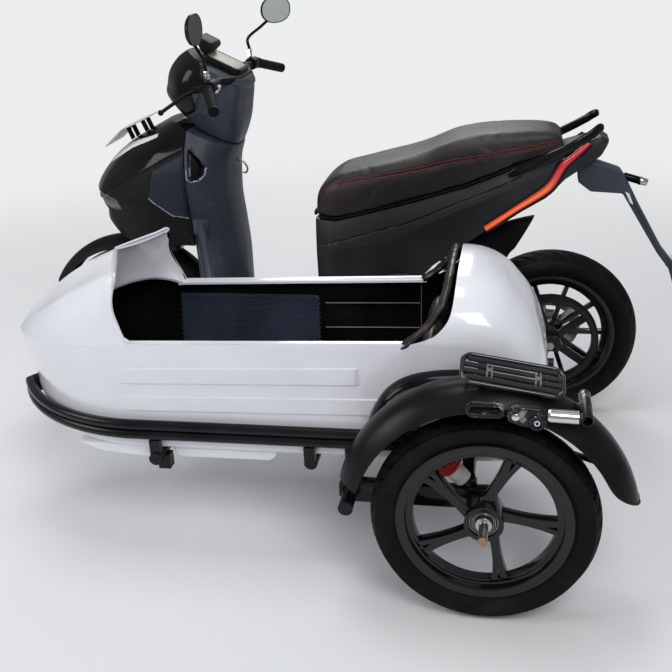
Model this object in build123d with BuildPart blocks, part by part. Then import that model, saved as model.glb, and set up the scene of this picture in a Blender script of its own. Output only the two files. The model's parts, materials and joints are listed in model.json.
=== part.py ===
# Electric scooter with a sidecar on its left, in millimetres.
# While modelling, X points forward from the rear axle, Y points left from the
# scooter's middle plane, and Z points up from the floor.
import os
from math import atan2, cos, hypot, radians, sin, sqrt

from build123d import *

os.makedirs("parts", exist_ok=True)

# Overall layout
wheelbase = 1335.0
track = 1040.0
side_lead = 159.0
seat_gap = 0.3

# Tyres and 14 inch rims
front_tyre_r = 258.0
front_tyre_w = 98.0
front_rim_w = 66.0
rear_tyre_r = 259.0
rear_tyre_w = 116.0
rear_rim_w = 80.0
side_tyre_r = 250.0
side_tyre_w = 80.0
side_rim_w = 60.0
bead_r = 178.5
lip_h = 13.5
well_depth = 16.5
rim_wall = 6.0
flange_w = 6.0
axle_r = 7.5
bore_clear = 0.05
lip_r = bead_r + lip_h
well_r = bead_r - well_depth

# Side wheel's hub and spindle
hub_r = 43.0
hub_half = 33.0
recess_r = 33.0
recess_depth = 9.0
spoke_count = 5
spoke_sweep = 22.0
spoke_phase = 41.5
spindle_r = 10.0
spindle_out = 98.0

# Steering: distances along the axis are measured from the floor
rake = 26.0
trail = 85.0
stem_r = 13.0
head_tube_r = 24.0
guard_gap = 46.0
crown_rise = 22.9
crown_h = 30.0
head_gap = 14.0
head_high_s = 905.0
seam_s = 980.0
seam_gap = 6.0
fork_half = 76.0
stanchion_r = 15.5
slider_r = 21.0
bar_r = 11.0
grip_r = 16.5

# Bodywork seam between the front apron and the leg shield
apron_setback = 275.0
apron_back = wheelbase - apron_setback

# Sidecar hull, its opening and its rail
hull_offset = 342.0
hull_y = track - hull_offset
hull_wall = 5.0
hull_floor = 300.0
rim_front_z = 584.0
rim_rear_z = 602.0
bow_start = 1000.0
cowl_x = 1005.0
cowl_half = 190.0
apex_x = 1075.0
opening_half = 200.0
rail_r = 12.7
rail_z = 343.6
rail_pitch = 25.0
rail_half = 214.3
rail_radius = 427.3
rail_behind = 157.0
cross_r = 16.0
cross_z = 283.0

# Fender and step plate
fender_rise = 4.0
fender_gap = 77.0
fender_half = 70.0
fender_drop = 44.0
fender_t = 3.5
fender_inset = 10.0
fender_from = 15.0
fender_to = 170.0
fender_r = side_tyre_r + fender_gap
fender_y = track - fender_inset
fender_z = side_tyre_r + fender_rise

# Seat and tail
hinge_x = 712.0
hinge_z = 640.0
hinge_r = 4.0


def shift_plane(x, y, z):
    """A horizontal sketch plane: x along X, y along Y."""
    return Plane(origin=(x, y, z), x_dir=(1, 0, 0), z_dir=(0, 0, 1))


def side_plane(y, x=0.0, z=0.0):
    """An upright sketch plane whose local axes are X and Z."""
    return Plane(origin=(x, y, z), x_dir=(1, 0, 0), z_dir=(0, -1, 0))


def section_plane(x):
    """An upright plane across the vehicle, local axes Y and Z."""
    return Plane(origin=(x, 0, 0), x_dir=(0, 1, 0), z_dir=(1, 0, 0))


def tube(points, radius, bend):
    """A round bar along straight runs with equal bends."""
    with BuildPart() as pipe:
        with BuildLine() as route:
            if len(points) > 2:
                FilletPolyline(*points, radius=bend)
            else:
                Line(*points)
        start = route.line @ 0
        with BuildSketch(Plane(origin=start, z_dir=route.line % 0)):
            Circle(radius)
        sweep(path=route.line)
    return pipe.part


def bar(start, end, radius):
    """A straight round bar between two points."""
    direction = Vector(*end) - Vector(*start)
    with BuildPart() as rod:
        with BuildSketch(Plane(origin=start, z_dir=direction)):
            Circle(radius)
        extrude(amount=direction.length)
    return rod.part


def box(x, y, z):
    """A box from (low, high) pairs on each axis."""
    with BuildPart() as block:
        with BuildSketch(shift_plane((x[0] + x[1]) / 2, (y[0] + y[1]) / 2, z[0])):
            Rectangle(x[1] - x[0], y[1] - y[0])
        extrude(amount=z[1] - z[0])
    return block.part


def slab(outline, half, y=0.0):
    """A side outline, in X and Z, made as thick as 2 x half about a plane."""
    with BuildPart() as block:
        with BuildSketch(side_plane(y)):
            Polygon(*outline, align=None)
        extrude(amount=half, both=True)
    return block.part


def steer_plane(along, forward=0.0, side=0.0):
    """A plane square to the steering axis, at a distance up it from the floor."""
    lean = radians(rake)
    origin = (
        wheelbase + trail - along * sin(lean) + forward * cos(lean),
        side,
        along * cos(lean) + forward * sin(lean),
    )
    return Plane(origin=origin, x_dir=(cos(lean), 0, sin(lean)), z_dir=(-sin(lean), 0, cos(lean)))


def steer_point(along, forward, side):
    """The same place as a point."""
    return tuple(steer_plane(along, forward, side).origin)


def ahead(outline, start):
    """A side outline given from a start, moved to it."""
    return [(start + x, z) for x, z in outline]


def between(table, x):
    """The value at x in a table of (x, value) pairs, straight between them."""
    for (x0, v0), (x1, v1) in zip(table, table[1:]):
        if x <= x1:
            return v0 + (v1 - v0) * (x - x0) / (x1 - x0)
    return table[-1][1]


# The front axle in the steering frame, and what stacks up above the tyre
axle_along = trail * sin(radians(rake)) + front_tyre_r * cos(radians(rake))
axle_forward = -trail * cos(radians(rake)) + front_tyre_r * sin(radians(rake))
guard_r = front_tyre_r + guard_gap
crown_s = axle_along + guard_r + crown_rise
head_low_s = crown_s + crown_h + head_gap


def tyre(x, y, radius, width, rim_width):
    """A tyre as a closed ring: bead, bulging walls and a round crown."""
    bead = rim_width / 2 - flange_w - seat_gap
    foot = bead_r + seat_gap
    wall_top = lip_r + 3
    mid = (radius + wall_top) / 2
    shoulder = radius - 0.16 * width
    with BuildPart() as ring:
        with BuildSketch(shift_plane(x, y, radius)):
            with BuildLine():
                Line((foot, -bead), (foot, bead))
                Line((foot, bead), (wall_top, bead))
                ThreePointArc((wall_top, bead), (mid, width / 2), (shoulder, 0.82 * width / 2))
                ThreePointArc((shoulder, 0.82 * width / 2), (radius, 0), (shoulder, -0.82 * width / 2))
                ThreePointArc((shoulder, -0.82 * width / 2), (mid, -width / 2), (wall_top, -bead))
                Line((wall_top, -bead), (foot, -bead))
            make_face()
        revolve(axis=Axis((x, y, radius), (0, 1, 0)))
    return ring.part


def barrel(x, y, z, rim_width):
    """The rim's barrel: lips, bead seats and a drop centre, one wall thick."""
    half = rim_width / 2
    seat = half - flange_w
    outer = [
        (lip_r, half), (lip_r, half - 4), (bead_r, seat), (bead_r - 2, seat - 12),
        (well_r, 10), (well_r, -10), (bead_r - 2, 12 - seat), (bead_r, -seat),
        (lip_r, 4 - half), (lip_r, -half),
    ]
    inner = [
        (lip_r - rim_wall, -half), (bead_r - rim_wall, 4 - half), (bead_r - rim_wall - 2, 14 - seat),
        (well_r - rim_wall, -12), (well_r - rim_wall, 12), (bead_r - rim_wall - 2, seat - 14),
        (bead_r - rim_wall, half - 4), (lip_r - rim_wall, half),
    ]
    with BuildPart() as ring:
        with BuildSketch(shift_plane(x, y, z)):
            Polygon(*outer, *inner, align=None)
        revolve(axis=Axis((x, y, z), (0, 1, 0)))
    return ring.part


def drum(x, y, z, radius, half):
    """A plain disc about a wheel's axle."""
    with BuildPart() as disc:
        with BuildSketch(side_plane(y, x, z)):
            Circle(radius)
        extrude(amount=half, both=True)
    return disc.part


# Side wheel: five swept spokes that fork at the rim
def swept_spoke(angle):
    """One forked spoke's outline about the hub, at the angle of its tip."""
    def at(radius, degree):
        turn = radians(angle + degree)
        return (radius * cos(turn), radius * sin(turn))
    root_low, root_high = -spoke_sweep - 26, -spoke_sweep + 20
    tip = well_r - 3
    with BuildSketch() as spoke:
        with BuildLine():
            ThreePointArc(at(hub_r - 6, root_low), at(92, -11.5), at(tip, -7.5))
            Polyline(at(tip, -7.5), at(tip, -2.5), at(132, -1.0), at(tip, 0.8), at(tip, 5.8))
            ThreePointArc(at(tip, 5.8), at(92, 1.0), at(hub_r - 6, root_high))
            Line(at(hub_r - 6, root_high), at(hub_r - 6, root_low))
        make_face()
    return spoke.sketch


side_centre = (side_lead, track, side_tyre_r)
with BuildPart() as side_rim:
    add(barrel(*side_centre, side_rim_w))
    add(drum(*side_centre, hub_r, hub_half))
    with BuildSketch(side_plane(track, side_lead, side_tyre_r)):
        for spoke in range(spoke_count):
            add(swept_spoke(spoke_phase + 360 / spoke_count * spoke))
    extrude(amount=13, both=True)
    with BuildSketch(side_plane(track + hub_half, side_lead, side_tyre_r)):
        Circle(recess_r)
    extrude(amount=recess_depth, mode=Mode.SUBTRACT)
    with BuildSketch(side_plane(track, side_lead, side_tyre_r)):
        Circle(spindle_r + bore_clear)
    extrude(amount=50, both=True, mode=Mode.SUBTRACT)

side_tyre = tyre(side_lead, track, side_tyre_r, side_tyre_w, side_rim_w)


# Front and rear wheels: pairs of slim spokes
def scooter_rim(x, z, rim_width, hub, hub_half, spokes):
    """A cast scooter wheel with slim straight spokes."""
    with BuildPart() as wheel:
        add(barrel(x, 0, z, rim_width))
        add(drum(x, 0, z, hub, hub_half))
        with BuildSketch(side_plane(0, x, z)):
            with PolarLocations((hub + well_r) / 2 - 2, spokes):
                Rectangle(well_r - hub + 2, 13)
        extrude(amount=9, both=True)
        with BuildSketch(side_plane(0, x, z)):
            Circle(axle_r + bore_clear)
        extrude(amount=hub_half + 5, both=True, mode=Mode.SUBTRACT)
    return wheel.part


front_hub_half = 27.0
rear_hub_half = 42.0
front_rim = scooter_rim(wheelbase, front_tyre_r, front_rim_w, 32, front_hub_half, 10)
front_tyre = tyre(wheelbase, 0, front_tyre_r, front_tyre_w, front_rim_w)
rear_rim = scooter_rim(0, rear_tyre_r, rear_rim_w, 44, rear_hub_half, 10)
rear_tyre = tyre(0, 0, rear_tyre_r, rear_tyre_w, rear_rim_w)

# Discs, drive pulley and axles
disc_t = 4.0
disc_r = 108.0
rear_disc_r = 95.0
disc_clear = 7.0
front_disc_y = -front_hub_half - disc_clear - disc_t / 2
rear_disc_y = -rear_hub_half - disc_clear - disc_t / 2
pulley_r = 138.0
pulley_y = 71.0
pulley_w = 24.0
pulley_hub_r = 36.0


def brake_disc(x, z, y, radius, hub, hub_end):
    """A disc on five arms, with its carrier reaching back to the hub."""
    low, high = sorted((hub_end, y))
    with BuildPart() as disc:
        with BuildSketch(side_plane(y, x, z)):
            Circle(radius)
            Circle(radius - 32, mode=Mode.SUBTRACT)
            Circle(hub)
            with PolarLocations((hub + radius - 32) / 2, 5):
                Rectangle(radius - 28 - hub, 14)
        extrude(amount=disc_t / 2, both=True)
        add(bar((x, low, z), (x, high, z), hub))
        with BuildSketch(side_plane(y, x, z)):
            Circle(axle_r + bore_clear)
        extrude(amount=80, both=True, mode=Mode.SUBTRACT)
    return disc.part


front_disc = brake_disc(
    wheelbase, front_tyre_r, front_disc_y, disc_r, 26, -front_hub_half - seat_gap
)
rear_disc = brake_disc(0, rear_tyre_r, rear_disc_y, rear_disc_r, 30, -rear_hub_half - seat_gap)

with BuildPart() as rear_pulley:
    with BuildSketch(side_plane(pulley_y, 0, rear_tyre_r)):
        Circle(pulley_r)
        Circle(pulley_r - 16, mode=Mode.SUBTRACT)
    extrude(amount=pulley_w / 2, both=True)
    with BuildSketch(side_plane(pulley_y, 0, rear_tyre_r)):
        Circle(pulley_hub_r)
        with PolarLocations((pulley_hub_r + pulley_r - 16) / 2, 5):
            Rectangle(pulley_r - pulley_hub_r - 8, 22)
    extrude(amount=7, both=True)
    add(bar((0, rear_hub_half + seat_gap, rear_tyre_r), (0, pulley_y, rear_tyre_r), pulley_hub_r))
    with BuildSketch(side_plane(pulley_y, 0, rear_tyre_r)):
        Circle(axle_r + bore_clear)
    extrude(amount=60, both=True, mode=Mode.SUBTRACT)

# Rear swing arm, axle and hugger
arm_y = 105.0
arm_half = 13.0
arm_end = arm_y + arm_half
pivot_x = 430.0
pivot_z = 290.0
pivot_r = 16.0
pivot_half = arm_end + 4
arm_outline = [
    (pivot_x + 22, pivot_z - 26), (pivot_x + 22, pivot_z + 20), (120, rear_tyre_r + 31),
    (-26, rear_tyre_r + 22), (-36, rear_tyre_r), (-26, rear_tyre_r - 21), (120, rear_tyre_r - 11),
]
arm_top = [(-26, rear_tyre_r + 22), (120, rear_tyre_r + 31), (pivot_x + 22, pivot_z + 20)]
with BuildPart() as swing_arm:
    for side in (-1, 1):
        add(slab(arm_outline, arm_half, side * arm_y))
    add(bar((pivot_x, -pivot_half, pivot_z), (pivot_x, pivot_half, pivot_z), pivot_r))
    with BuildSketch(side_plane(0, 0, rear_tyre_r)):
        Circle(axle_r + seat_gap)
    extrude(amount=130, both=True, mode=Mode.SUBTRACT)


def wheel_axle(x, z, half, collars):
    """A through axle with an end nut each side and collars from (start, end) pairs."""
    with BuildPart() as pin:
        add(bar((x, -half - 11, z), (x, half + 11, z), axle_r))
        for start, end in collars:
            add(bar((x, start, z), (x, end, z), axle_r + 5))
        for side in (-1, 1):
            with BuildSketch(side_plane(side * (half + seat_gap + 4.5), x, z)):
                RegularPolygon(13, 6)
            extrude(amount=4.5, both=True)
    return pin.part


rear_axle = wheel_axle(
    0, rear_tyre_r, arm_end,
    [(pulley_y + 7 + seat_gap, arm_y - arm_half - seat_gap),
     (arm_half - arm_y + seat_gap, rear_disc_y - disc_t / 2 - seat_gap)],
)


def arc_guard(x, y, z, radius, half, drop, wall, start, end):
    """A wheel guard: a bowed strip swept about an axle between two angles."""
    turn = radians(start)
    with BuildPart() as guard:
        with BuildSketch(Plane(
            origin=(x, y, z), x_dir=(cos(turn), 0, sin(turn)), z_dir=(-sin(turn), 0, cos(turn))
        )):
            with BuildLine():
                ThreePointArc((radius - drop, -half), (radius, 0), (radius - drop, half))
                Line((radius - drop, half), (radius - drop, half - wall))
                ThreePointArc(
                    (radius - drop, half - wall), (radius - wall, 0), (radius - drop, wall - half)
                )
                Line((radius - drop, wall - half), (radius - drop, -half))
            make_face()
        revolve(axis=Axis((x, y, z), (0, -1, 0)), revolution_arc=end - start)
    return guard.part


hugger_r = rear_tyre_r + 63
hugger_from = 8.0
hugger_foot = hugger_r * cos(radians(hugger_from)) - 51
with BuildPart() as rear_hugger:
    add(arc_guard(0, 0, rear_tyre_r, hugger_r, 54, 34, 4, hugger_from, 80))
    for side in (-1, 1):
        low, high = sorted((side * 44, side * arm_y))
        foot_z = max(between(arm_top, hugger_foot), between(arm_top, hugger_foot + 32)) + seat_gap
        add(box((hugger_foot, hugger_foot + 32), (low, high), (foot_z, rear_tyre_r + 63)))

# Scooter frame, power pack and drive
frame_y = 118.0
frame_z = 305.0
frame_r = 14.0
frame_end = apron_back - 20
floor_z = 345.0
floor_t = 18.0
stand_x = 450.0
stand_z = 185.0
stand_reach = 166.0
lug_y = pivot_half + seat_gap + 6
with BuildPart() as scooter_frame:
    for side in (-1, 1):
        add(bar((472, side * frame_y, frame_z), (frame_end, side * frame_y, frame_z), frame_r))
        plate = [(405, 262), (405, 322), (445, 345), (520, 345), (520, 290), (470, 262)]
        add(slab(plate, 6, side * lug_y))
        lug = [(432, 172), (468, 172), (470, 264), (430, 264)]
        add(slab(lug, 6, side * lug_y))
    for x in (610, frame_end - 10):
        add(bar((x, -frame_y, frame_z), (x, frame_y, frame_z), 12))
    add(bar((stand_x, -130, stand_z), (stand_x, 130, stand_z), 6))

battery_block = box((628, apron_back - 60), (-96, 96), (185, floor_z - floor_t - seat_gap))

motor_pulley_x = 500.0
motor_pulley_z = 300.0
motor_pulley_r = 30.0
with BuildPart() as motor_block:
    add(box((460, 596), (-92, 55), (215, floor_z - floor_t - seat_gap)))
    add(bar(
        (motor_pulley_x, 50, motor_pulley_z), (motor_pulley_x, pulley_y + pulley_w / 2, motor_pulley_z),
        motor_pulley_r,
    ))


def belt_loop(grow):
    """The outline round both pulleys, grown outwards by a distance."""
    span_x, span_z = motor_pulley_x, motor_pulley_z - rear_tyre_r
    span = hypot(span_x, span_z)
    tilt = atan2(span_z, span_x)
    big, small = pulley_r + grow, motor_pulley_r + grow
    lean = atan2(big - small, sqrt(span ** 2 - (big - small) ** 2))
    up, down = tilt + radians(90) - lean, tilt - radians(90) + lean

    def at(centre_x, centre_z, radius, turn):
        return (centre_x + radius * cos(turn), centre_z + radius * sin(turn))

    motor_at, wheel_at = (motor_pulley_x, motor_pulley_z), (0, rear_tyre_r)
    with BuildSketch() as loop:
        with BuildLine():
            Line(at(*wheel_at, big, up), at(*motor_at, small, up))
            ThreePointArc(
                at(*motor_at, small, up), at(*motor_at, small, tilt), at(*motor_at, small, down)
            )
            Line(at(*motor_at, small, down), at(*wheel_at, big, down))
            ThreePointArc(
                at(*wheel_at, big, down), at(*wheel_at, big, tilt + radians(180)), at(*wheel_at, big, up)
            )
        make_face()
    return loop.sketch


with BuildPart() as drive_belt:
    with BuildSketch(side_plane(pulley_y)):
        add(belt_loop(seat_gap + 5))
        add(belt_loop(seat_gap), mode=Mode.SUBTRACT)
    extrude(amount=10, both=True)

footboard_outline = [
    (600, 150), (640, 168), (apron_back - 80, 168), (apron_back - 20, 150), (apron_back - 2, 120),
]


def plan_prism(outline, low, high, grow=0.0):
    """A prism over a plan outline given as (x, half width) from tail to nose."""
    left = [(x, half + grow) for x, half in outline]
    right = [(x, -half - grow) for x, half in reversed(outline)]
    with BuildPart() as prism:
        with BuildSketch(shift_plane(0, 0, low)):
            Polygon(*left, *right, align=None)
        extrude(amount=high - low)
    return prism.part


footboard = plan_prism(footboard_outline, floor_z - floor_t, floor_z)


# Bodywork as stacked level outlines: height, then (x from the seam, half width)
def stacked(levels, grow=0.0):
    """A ruled body through level outlines, front edges grown outwards."""
    with BuildPart() as body:
        for height, outline in levels:
            left = [(apron_back + x, half + grow) for x, half in outline]
            right = [(apron_back + x, -half - grow) for x, half in reversed(outline)]
            left[0] = (left[0][0] + grow, left[0][1])
            right[-1] = (right[-1][0] + grow, right[-1][1])
            with BuildSketch(shift_plane(0, 0, height)):
                Polygon(*left, *right, align=None)
        loft(ruled=True)
    return body.part


apron_levels = [
    (575, [(285, 40), (240, 95), (120, 150), (0, 165)]),
    (665, [(325, 35), (280, 100), (140, 170), (0, 185)]),
    (704, [(351, 25), (310, 95), (160, 175), (0, 192)]),
    (803, [(293, 30), (250, 90), (130, 165), (0, 190)]),
    (871, [(211, 35), (180, 80), (100, 135), (0, 165)]),
    (935, [(80, 40), (65, 70), (40, 95), (0, 115)]),
]
shield_levels = [
    (floor_z + seat_gap, [(-seat_gap, 150), (-50, 150), (-95, 90), (-120, 40)]),
    (520, [(-seat_gap, 150), (-65, 142), (-105, 80), (-122, 36)]),
    (690, [(-seat_gap, 178), (-50, 165), (-90, 90), (-105, 40)]),
    (800, [(-seat_gap, 190), (-50, 168), (-95, 95), (-110, 40)]),
    (870, [(-seat_gap, 165), (-60, 135), (-110, 85), (-132, 40)]),
    (940, [(-seat_gap, 115), (-70, 95), (-110, 70), (-138, 40)]),
]
with BuildPart() as seam_cutter:
    with BuildSketch(steer_plane(seam_s)):
        Rectangle(700, 600)
    extrude(amount=300)
with BuildPart() as head_bore:
    with BuildSketch(steer_plane(head_low_s - 40)):
        Circle(head_tube_r + seat_gap)
    extrude(amount=500)
crown_sweep = 119.0
with BuildPart() as crown_clearance:
    with BuildSketch(steer_plane(crown_s - 60)):
        Circle(crown_sweep)
        with Locations((crown_sweep / 2 - 16, 0)):
            Rectangle(crown_sweep + 32, 2 * crown_sweep, mode=Mode.INTERSECT)
    extrude(amount=60 + crown_h + 8)
with BuildPart() as front_apron:
    add(stacked(apron_levels))
    for cutter in (seam_cutter, head_bore, crown_clearance):
        add(cutter.part, mode=Mode.SUBTRACT)
pocket_x = (apron_back - 130, apron_back - 22)
pocket_y = (84, 146)
pocket_z = (782, 858)
with BuildPart() as leg_shield:
    add(stacked(shield_levels))
    for cutter in (seam_cutter, head_bore, crown_clearance):
        add(cutter.part, mode=Mode.SUBTRACT)
    add(box(pocket_x, pocket_y, pocket_z), mode=Mode.SUBTRACT)

with BuildPart() as head_tube:
    with BuildSketch(steer_plane(head_low_s)):
        Circle(head_tube_r)
        Circle(stem_r + bore_clear, mode=Mode.SUBTRACT)
    extrude(amount=head_high_s - head_low_s)

# Lamps set on the apron's skin
lens_t = 3.0
headlamp_outline = [(230, 668), (285, 668), (360, 700), (360, 722), (310, 716), (240, 700)]
strip_outline = [(302, 786), (320, 800), (210, 872), (90, 906), (86, 892), (202, 856)]
with BuildPart() as front_lamps:
    for outline in (headlamp_outline, strip_outline):
        add(slab(ahead(outline, apron_back), 220))
    add(stacked(apron_levels, lens_t), mode=Mode.INTERSECT)
    add(stacked(apron_levels, seat_gap), mode=Mode.SUBTRACT)
    with BuildSketch(shift_plane(apron_back + 240, 0, 560)):
        Rectangle(600, 70)
    extrude(amount=500, mode=Mode.SUBTRACT)

# Front axle, fork, mudguard and brake caliper
fork_inner = fork_half - slider_r
fork_outer = fork_half + slider_r

front_axle = wheel_axle(
    wheelbase, front_tyre_r, fork_outer,
    [(front_hub_half + seat_gap, fork_inner - seat_gap),
     (seat_gap - fork_inner, front_disc_y - disc_t / 2 - seat_gap)],
)
stem_top = 1130.0
with BuildPart() as fork:
    with BuildSketch(steer_plane(crown_s)):
        with Locations((axle_forward / 2 + 8, 0)):
            RectangleRounded(axle_forward + 50, 2 * fork_half + 40, 18)
    extrude(amount=crown_h)
    with BuildSketch(steer_plane(crown_s + crown_h)):
        Circle(stem_r)
    extrude(amount=stem_top - crown_s - crown_h)
    with BuildSketch(steer_plane(crown_s + crown_h)):
        Circle(stem_r + 6)
    extrude(amount=head_low_s - crown_s - crown_h - seat_gap)
    for side in (-1, 1):
        with BuildSketch(steer_plane(axle_along - 26, axle_forward, side * fork_half)):
            Circle(slider_r)
        extrude(amount=250)
        with BuildSketch(steer_plane(crown_s, axle_forward, side * fork_half)):
            Circle(stanchion_r)
        extrude(amount=-120)
    with BuildSketch(side_plane(0, wheelbase, front_tyre_r)):
        Circle(axle_r + seat_gap)
    extrude(amount=130, both=True, mode=Mode.SUBTRACT)
    with BuildSketch(steer_plane(axle_along + 62, axle_forward - 36, -54)):
        Rectangle(52, 20)
    extrude(amount=66)

with BuildPart() as front_mudguard:
    add(arc_guard(wheelbase, 0, front_tyre_r, guard_r, 56, 34, 3.5, 30, 150))
    with BuildSketch(steer_plane(axle_along + guard_r - 9, axle_forward)):
        Rectangle(30, 24)
    extrude(amount=crown_s - seat_gap - axle_along - guard_r + 9)

# Handlebar, grips and controls, placed from the steering axis
def mirrored_run(half):
    """A run of steering frame places on the left, led on from its mirror image."""
    right = [steer_point(along, forward, -side) for along, forward, side in reversed(half)]
    return right + [steer_point(*place) for place in half]


def steer_outline(pairs):
    """A side outline given as places along and ahead of the steering axis."""
    places = [steer_point(along, forward, 0) for along, forward in pairs]
    return [(place[0], place[2]) for place in places]


bar_half = [(1164.6, 2.8, 62), (1157.4, 36.0, 150), (1155.5, 32.9, 262), (1145.5, -28.7, 387)]
bar_points = mirrored_run(bar_half)
bar_bend = 26.0
clamp_r = 19.0
with BuildPart() as handlebar:
    add(tube(bar_points, bar_r, bar_bend))
    with BuildSketch(steer_plane(stem_top + seat_gap)):
        Circle(clamp_r)
    extrude(amount=30)


def along(start, end, distance):
    """The point at a distance from start towards end."""
    step = (Vector(*end) - Vector(*start)).normalized()
    return tuple(Vector(*start) + step * distance)


bar_ends = {}
for side in (-1, 1):
    bar_ends[side] = (
        steer_point(1156.9, 34.7, side * 205), steer_point(1155.5, 32.9, side * 262),
        steer_point(1145.5, -28.7, side * 387),
    )
with BuildPart() as grips:
    for side in (-1, 1):
        near, inner, tip = bar_ends[side]
        add(bar(along(inner, tip, 14), along(inner, tip, 146), grip_r))
        add(bar(inner, tip, bar_r + seat_gap), mode=Mode.SUBTRACT)
with BuildPart() as bar_controls:
    for side in (-1, 1):
        near, inner, tip = bar_ends[side]
        add(bar(near, along(near, inner, 48), clamp_r))
        add(bar(steer_point(1154.4, 37.8, side * 230), steer_point(1128.6, 72.1, side * 240), 9))
        lever = [
            steer_point(1132.2, 67.1, side * 236), steer_point(1113.6, 84.7, side * 262),
            steer_point(1068.2, 109.3, side * 352),
        ]
        add(tube(lever, 5, 14))
    add(tube(bar_points, bar_r + seat_gap, bar_bend), mode=Mode.SUBTRACT)

# Handlebar cover: outlines square to the steering axis
cover_top = 1172.0
cover_levels = [
    (seam_s + seam_gap, [(97, 35), (60, 78), (-35, 78), (-61, 45)]),
    (1018, [(184, 40), (120, 92), (-30, 88), (-60, 50)]),
    (1100, [(207, 42), (130, 112), (-20, 105), (-44, 60)]),
    (cover_top, [(178, 40), (110, 98), (10, 92), (-18, 55)]),
]
with BuildPart() as handlebar_cover:
    for height, outline in cover_levels:
        left = list(outline)
        right = [(forward, -half) for forward, half in reversed(outline)]
        with BuildSketch(steer_plane(height)):
            Polygon(*left, *right, align=None)
    loft(ruled=True)
    add(tube(bar_points, bar_r + seat_gap, bar_bend), mode=Mode.SUBTRACT)
    with BuildSketch(steer_plane(seam_s)):
        Circle(clamp_r + seat_gap)
    extrude(amount=cover_top + 10 - seam_s, mode=Mode.SUBTRACT)

visor = [
    (1211.7, 107.0), (1222.1, 115.4), (1223.5, 162.8), (1210.9, 163.4), (1185.1, 129.6), (1189.9, 115.3),
]
with BuildPart() as dash:
    with BuildSketch(steer_plane(cover_top + seat_gap)):
        with Locations((67, 0)):
            RectangleRounded(122, 116, 16)
    extrude(amount=16)
    add(slab(steer_outline(visor), 48))
    add(tube(bar_points, bar_r + seat_gap, bar_bend), mode=Mode.SUBTRACT)

# Mirrors: side, the head's place, the end of its stem, and its turn
mirror_heads = [
    (1, (1293.2, 115.6, 300), (1271.7, 114.0, 300), 0),
    (-1, (1316.3, 50.1, -340), (1294.8, 48.5, -340), 35),
]
with BuildPart() as mirrors:
    for side, head, stem_end, turn in mirror_heads:
        root = steer_point(1159.6, 40.4, side * 226)
        knee = steer_point(1219.5, 77.4, side * 240)
        add(tube([root, knee, steer_point(*stem_end)], 5, 24))
        lean = radians(turn)
        with BuildSketch(Plane(
            origin=steer_point(*head), x_dir=(sin(lean), cos(lean), 0), z_dir=(-cos(lean), sin(lean), 0)
        )):
            Ellipse(62, 41)
        extrude(amount=9, both=True)
    for side in (-1, 1):
        near, inner, tip = bar_ends[side]
        clamp = bar(along(near, inner, -12), along(near, inner, 60), clamp_r + seat_gap)
        add(clamp, mode=Mode.SUBTRACT)

# Front number plate on its standoffs
front_plate = [(282, 857), (223, 908), (161, 932), (162, 935), (225, 911), (285, 859)]
above_plate = [(282, 856.6), (223, 907.6), (161, 931.6), (162, 1035), (285, 959)]
holder_end = [(-352, 482), (-398, 330)]
plate_t = 3.0
rear_plate = ahead(holder_end, -seat_gap) + ahead(reversed(holder_end), -seat_gap - plate_t)
with BuildPart() as number_plates:
    add(slab(ahead(front_plate, apron_back), 75))
    add(slab(rear_plate, 85))
with BuildPart() as plate_standoffs:
    for side in (-1, 1):
        for foot_x, foot_z, top_x, top_z in ((202, 850, 225.1, 910.5), (152, 870, 176.4, 930.5)):
            foot = (apron_back + foot_x, side * 22, foot_z)
            add(bar(foot, (apron_back + top_x, side * 22, top_z), 7))
    add(stacked(apron_levels, seat_gap), mode=Mode.SUBTRACT)
    add(slab(ahead(above_plate, apron_back), 75), mode=Mode.SUBTRACT)

# Tail body with the bin under the seat
tail_outline = [
    (700, 640), (700, floor_z + seat_gap), (480, floor_z + seat_gap), (430, 420), (346, 509),
    (305, 537), (196, 611), (25, 703), (-25, 755), (-122, 815), (-142, 852), (-120, 870),
    (121, 790), (251, 742), (455, 686), (631, 640),
]
tail_plan = [(-145, 55), (0, 95), (150, 130), (400, 155), (640, 140), (705, 105)]
bin_x = (262, 600)
bin_half = 90.0
bin_floor = 480.0
shock_top = (340, 548)
shock_foot = (150, rear_tyre_r + 59)
shock_y = 112.0
shock_eye = 7.0
boss_y = shock_y - shock_eye - seat_gap
with BuildPart() as tail_body:
    add(slab(tail_outline, 220))
    add(plan_prism(tail_plan, 300, 900), mode=Mode.INTERSECT)
    add(box((bin_x[0], 470), (-bin_half, bin_half), (545, 900)), mode=Mode.SUBTRACT)
    add(box((400, bin_x[1]), (-bin_half, bin_half), (bin_floor, 900)), mode=Mode.SUBTRACT)
    for side in (-1, 1):
        low, high = sorted((side * 97, side * 136))
        add(box((262, 392), (low, high), (480, 590)), mode=Mode.SUBTRACT)
        add(bar((shock_top[0], side * 94, shock_top[1]), (shock_top[0], side * boss_y, shock_top[1]), 11))
        add(slab([(699, 630), (716, 632), (720, 640), (716, 648), (699, 640)], 4, side * 34))
    add(bar((hinge_x, -37, hinge_z), (hinge_x, 37, hinge_z), hinge_r))

strip_tail = [(192, 614), (14, 727), (-25, 790), (-92, 851), (-78, 856), (-8, 800), (28, 742), (200, 628)]
with BuildPart() as tail_lights:
    add(slab(strip_tail, 220))
    add(plan_prism(tail_plan, 300, 900, lens_t), mode=Mode.INTERSECT)
    add(plan_prism(tail_plan, 300, 900, seat_gap), mode=Mode.SUBTRACT)

grab_half = [(-115, 100, 905), (-20, 134, 850), (100, 128, 784)]
with BuildPart() as grab_rails:
    add(tube([(x, -y, z) for x, y, z in reversed(grab_half)] + grab_half, 9, 30))

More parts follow.
